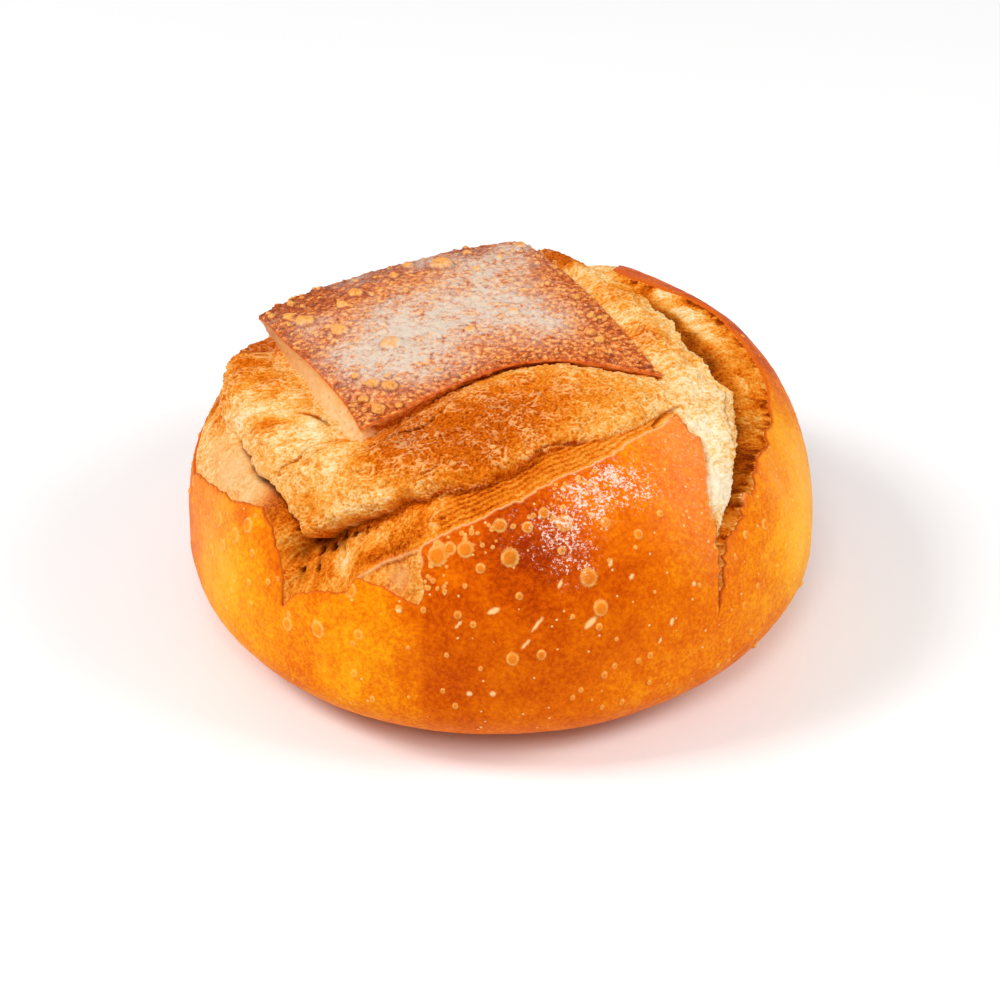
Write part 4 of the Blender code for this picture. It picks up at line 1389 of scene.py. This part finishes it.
def crust_material():
    """Baked outer crust: golden to deep orange-brown, speckled, blistered, satin."""
    nodes = Nodes("crust")
    drift = nodes.between(nodes.grain(7.0), 0.3, 0.7, -0.06, 0.06)
    fine = nodes.between(nodes.grain(1.3, 4.0, 0.7), 0.3, 0.7, 0.12, -0.12)
    bake = nodes.add(nodes.value("bake"), drift, fine)
    colour = nodes.ramp(bake, CRUST_TONES)
    patchy = nodes.between(nodes.grain(2.2, 4.0), 0.25, 0.7, 0.5, 1.0)
    bloom = nodes.times(nodes.value("bloom"), patchy)
    colour = nodes.mix(bloom, colour, BLOOM_COLOUR)
    pebbles = nodes.times(nodes.between(nodes.grain(1.1, 2.0), 0.56, 0.68), nodes.value("bloom"))
    colour = nodes.mix(nodes.times(pebbles, 0.6), colour, PEBBLE_COLOUR)
    flecks = nodes.between(nodes.cells(5.0), 0.05, 0.10, 1.0, 0.0)
    colour = nodes.mix(nodes.times(flecks, 0.8), colour, FLECK_COLOUR)
    blister = nodes.value("blister")
    uneven = nodes.between(nodes.grain(1.4, 3.0), 0.35, 0.65, 0.45, 1.0)
    ring_share = nodes.times(
        nodes.between(blister, 0.0, 0.08), nodes.between(blister, 0.16, 0.46, 1.0, 0.0)
    )
    colour = nodes.mix(nodes.times(nodes.between(blister, 0.06, 0.3), 0.48), colour, BLISTER_COLOUR)
    colour = nodes.mix(
        nodes.times(nodes.times(ring_share, uneven), 0.56), colour, BLISTER_RING_COLOUR
    )
    flour = nodes.times(
        nodes.value("flour"), nodes.between(nodes.grain(4.0, 4.0), 0.35, 0.62, 0.25, 1.0)
    )
    specks = nodes.add(nodes.grain(0.9, 4.0, 0.7), nodes.times(flour, 0.19))
    dust = nodes.times(nodes.between(specks, 0.60, 0.70), nodes.between(flour, 0.04, 0.35))
    colour = nodes.mix(nodes.times(dust, 0.85), colour, FLOUR_COLOUR)
    colour = nodes.mix(nodes.times(nodes.value("fleck"), 0.85), colour, FLECK_COLOUR)
    edge_colour = nodes.mix(nodes.value("ear"), RIM_COLOUR, EAR_COLOUR)
    colour = nodes.mix(nodes.value("edge"), colour, edge_colour)
    nodes.link(colour, nodes.surface.inputs["Base Color"])
    gloss = nodes.between(nodes.grain(2.5), 0.3, 0.7, 0.42, 0.58)
    nodes.link(gloss, nodes.surface.inputs["Roughness"])
    nodes.soften(0.07, (1.0, 0.62, 0.22))
    nodes.bump(nodes.grain(1.0, 4.0, 0.6), 0.45, 0.0004)
    return nodes.material


def lid_material():
    """Top crust: red-brown, orange blisters with painted shade round their feet, a haze of pale flour."""
    nodes = Nodes("lid")
    mottle = nodes.between(nodes.grain(1.6, 4.0, 0.7), 0.3, 0.7, -0.6, 0.6)
    bake = nodes.add(nodes.value("bake"), mottle)
    colour = nodes.ramp(bake, LID_TONES)
    blister = nodes.value("blister")
    uneven = nodes.between(nodes.grain(1.2, 3.0), 0.35, 0.65, 0.35, 1.0)
    # Painted shade in a dark ring round each blister's foot
    foot = nodes.times(
        nodes.between(blister, 0.0, 0.06), nodes.between(blister, 0.08, 0.2, 1.0, 0.0)
    )
    colour = nodes.mix(nodes.times(foot, 0.75), colour, BLISTER_FOOT_COLOUR)
    top = nodes.times(nodes.between(blister, 0.08, 0.3), uneven)
    colour = nodes.mix(nodes.times(top, 0.9), colour, BLISTER_SIDE_COLOUR)
    crown = nodes.between(blister, 0.35, 0.8)
    colour = nodes.mix(nodes.times(crown, 0.5), colour, BLISTER_CROWN_COLOUR)
    dots = nodes.between(nodes.grain(0.8, 3.0, 0.6), 0.56, 0.68)
    colour = nodes.mix(nodes.times(dots, 0.4), colour, LID_DOT_COLOUR)
    soft = nodes.between(nodes.grain(5.0, 3.0, 0.6), 0.3, 0.65, 0.08, 0.54)
    specks = nodes.between(nodes.grain(1.5, 5.0, 0.85), 0.40, 0.60, 0.0, 0.62)
    cloud = nodes.add(soft, specks)
    cloud = nodes.times(nodes.add(nodes.value("flour"), 0.08), cloud)
    cloud = nodes.times(cloud, nodes.between(blister, 0.1, 0.5, 1.0, 0.45))
    colour = nodes.mix(nodes.between(cloud, 0.0, 0.9, 0.0, 0.9), colour, LID_FLOUR_COLOUR)
    colour = nodes.mix(nodes.times(nodes.value("edge"), 0.85), colour, LID_EDGE_COLOUR)
    cut = nodes.ramp(nodes.value("drop"), CUT_TONES)
    grainy = nodes.times(nodes.between(nodes.grain(1.6, 4.0, 0.7), 0.35, 0.65), 0.75)
    cut = nodes.mix(grainy, cut, CUT_GRAIN_COLOUR)
    pores = nodes.between(nodes.cells(2.2), 0.1, 0.3, 0.55, 0.0)
    cut = nodes.mix(pores, cut, CUT_PORE_COLOUR)
    # Painted shade on the back part of the cut wall
    cut = nodes.mix(nodes.value("raw"), CUT_SHADED_COLOUR, cut)
    torn_noise = nodes.between(nodes.grain(1.5, 4.0, 0.75), 0.3, 0.7, -0.6, 0.6)
    # The torn wall darkens towards its foot, partly from painted shade under the lid's edge
    torn = nodes.ramp(nodes.add(nodes.value("drop"), torn_noise), TORN_TONES)
    # The cut side is paler partly from painted light, the torn sides darker partly from painted shade
    side = nodes.mix(nodes.value("clean"), torn, cut)
    colour = nodes.mix(nodes.value("wall"), colour, side)
    nodes.link(colour, nodes.surface.inputs["Base Color"])
    nodes.surface.inputs["Roughness"].default_value = 0.6
    nodes.soften(0.12, (1.0, 0.75, 0.5))
    nodes.bump(nodes.grain(0.9, 4.0, 0.7), 0.8, 0.0006)
    return nodes.material


def crumb_material():
    """Torn crumb: cream inside, toasted orange to brown on what the oven reached, with painted shade in
    its cracks, holes and hollows and painted highlight on its strands.
    """
    nodes = Nodes("crumb")
    fine = nodes.between(nodes.grain(0.9, 4.0, 0.7), 0.3, 0.7, -0.16, 0.16)
    toast = nodes.add(nodes.value("toast"), fine)
    colour = nodes.ramp(toast, CRUMB_TONES)
    # Pale strands, partly painted highlight on the crests of the curls
    wisp = nodes.between(nodes.value("wisp"), 0.4, 0.9)
    colour = nodes.mix(nodes.times(wisp, 0.38), colour, STRAND_COLOUR)
    colour = nodes.mix(nodes.times(nodes.value("face"), 0.75), colour, SMOOTH_FACE_COLOUR)
    colour = nodes.mix(nodes.times(nodes.value("crest"), 0.5), colour, CREST_COLOUR)
    # Painted shade in cracks, holes, the cleft and the pit
    colour = nodes.mix(nodes.times(nodes.value("hollow"), 0.9), colour, HOLLOW_COLOUR)
    nodes.link(colour, nodes.surface.inputs["Base Color"])
    nodes.surface.inputs["Roughness"].default_value = 0.8
    nodes.soften(0.06, (1.0, 0.75, 0.45))
    nodes.bump(nodes.grain(0.8, 5.0, 0.7), 0.7, 0.0006)
    return nodes.material


def floor_material():
    """Plain pale floor with a faint gloss."""
    nodes = Nodes("floor")
    colour = nodes.ramp(nodes.grain(400.0), ((0.0, (246, 246, 246)), (1.0, (250, 250, 250))))
    nodes.link(colour, nodes.surface.inputs["Base Color"])
    nodes.surface.inputs["Roughness"].default_value = 0.22
    nodes.surface.inputs["Specular IOR Level"].default_value = 0.5
    return nodes.material


def make_floor():
    """A wide flat floor under the loaf."""
    bpy.ops.mesh.primitive_plane_add(size=FLOOR_SIZE, location=(0.0, 0.0, 0.0))
    floor = bpy.context.active_object
    floor.name = "floor"
    floor.data.materials.append(floor_material())


def towards(azimuth, elevation):
    """Unit vector towards an azimuth and an elevation in degrees."""
    a, e = math.radians(azimuth), math.radians(elevation)
    return Vector((math.cos(a) * math.cos(e), math.sin(a) * math.cos(e), math.sin(e)))


def make_light():
    """Soft lamps round the loaf, and pale light from everywhere."""
    for name, azimuth, elevation, distance, size, power in LAMPS:
        lamp = bpy.data.lights.new(name, "AREA")
        lamp.size = size
        lamp.energy = power
        holder = bpy.data.objects.new(name, lamp)
        direction = towards(azimuth, elevation)
        holder.location = direction * distance
        holder.rotation_euler = direction.to_track_quat("Z", "Y").to_euler()
        bpy.context.scene.collection.objects.link(holder)
    world = bpy.data.worlds.new("studio")
    world.use_nodes = True
    world.node_tree.nodes["Background"].inputs["Color"].default_value = (1.0, 1.0, 1.0, 1.0)
    world.node_tree.nodes["Background"].inputs["Strength"].default_value = WORLD_STRENGTH
    bpy.context.scene.world = world
    bpy.context.scene.view_settings.view_transform = "Standard"


def make_camera(shift):
    """Camera that looks down on the front of the loaf."""
    camera = bpy.data.cameras.new("camera")
    camera.lens = CAMERA_LENS
    camera.sensor_width = CAMERA_SENSOR
    holder = bpy.data.objects.new("camera", camera)
    direction = towards(270.0, CAMERA_ELEVATION)
    holder.location = Vector(CAMERA_AIM) + Vector(shift) * MILLIMETRE + direction * CAMERA_DISTANCE
    holder.rotation_euler = direction.to_track_quat("Z", "Y").to_euler()
    bpy.context.scene.collection.objects.link(holder)
    bpy.context.scene.camera = holder


def main():
    """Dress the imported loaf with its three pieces, and light it."""
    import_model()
    rim = Outline(torn_rim())
    outline = Outline(trace(LID_SIDES, OUTLINE_STEP))
    groove = Outline(torn_groove())
    round_form = place(lattice(2.0, BASE_GIRTH), 0.0)
    middle = (round_form.min(axis=0) + round_form.max(axis=0)) / 2
    shift = np.array([-middle[0], -middle[1], 0.0])
    pieces = (
        (make_bowl(rim, crust_material(), shift), "crust"),
        (make_lid(outline, lid_material(), shift), "lid"),
        (make_crumb(rim, outline, groove, crumb_material(), shift), "crumb"),
    )
    for piece, slot in pieces:
        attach(piece, "root")
        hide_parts("loaf")
    make_floor()
    make_light()
    make_camera(shift)


main()
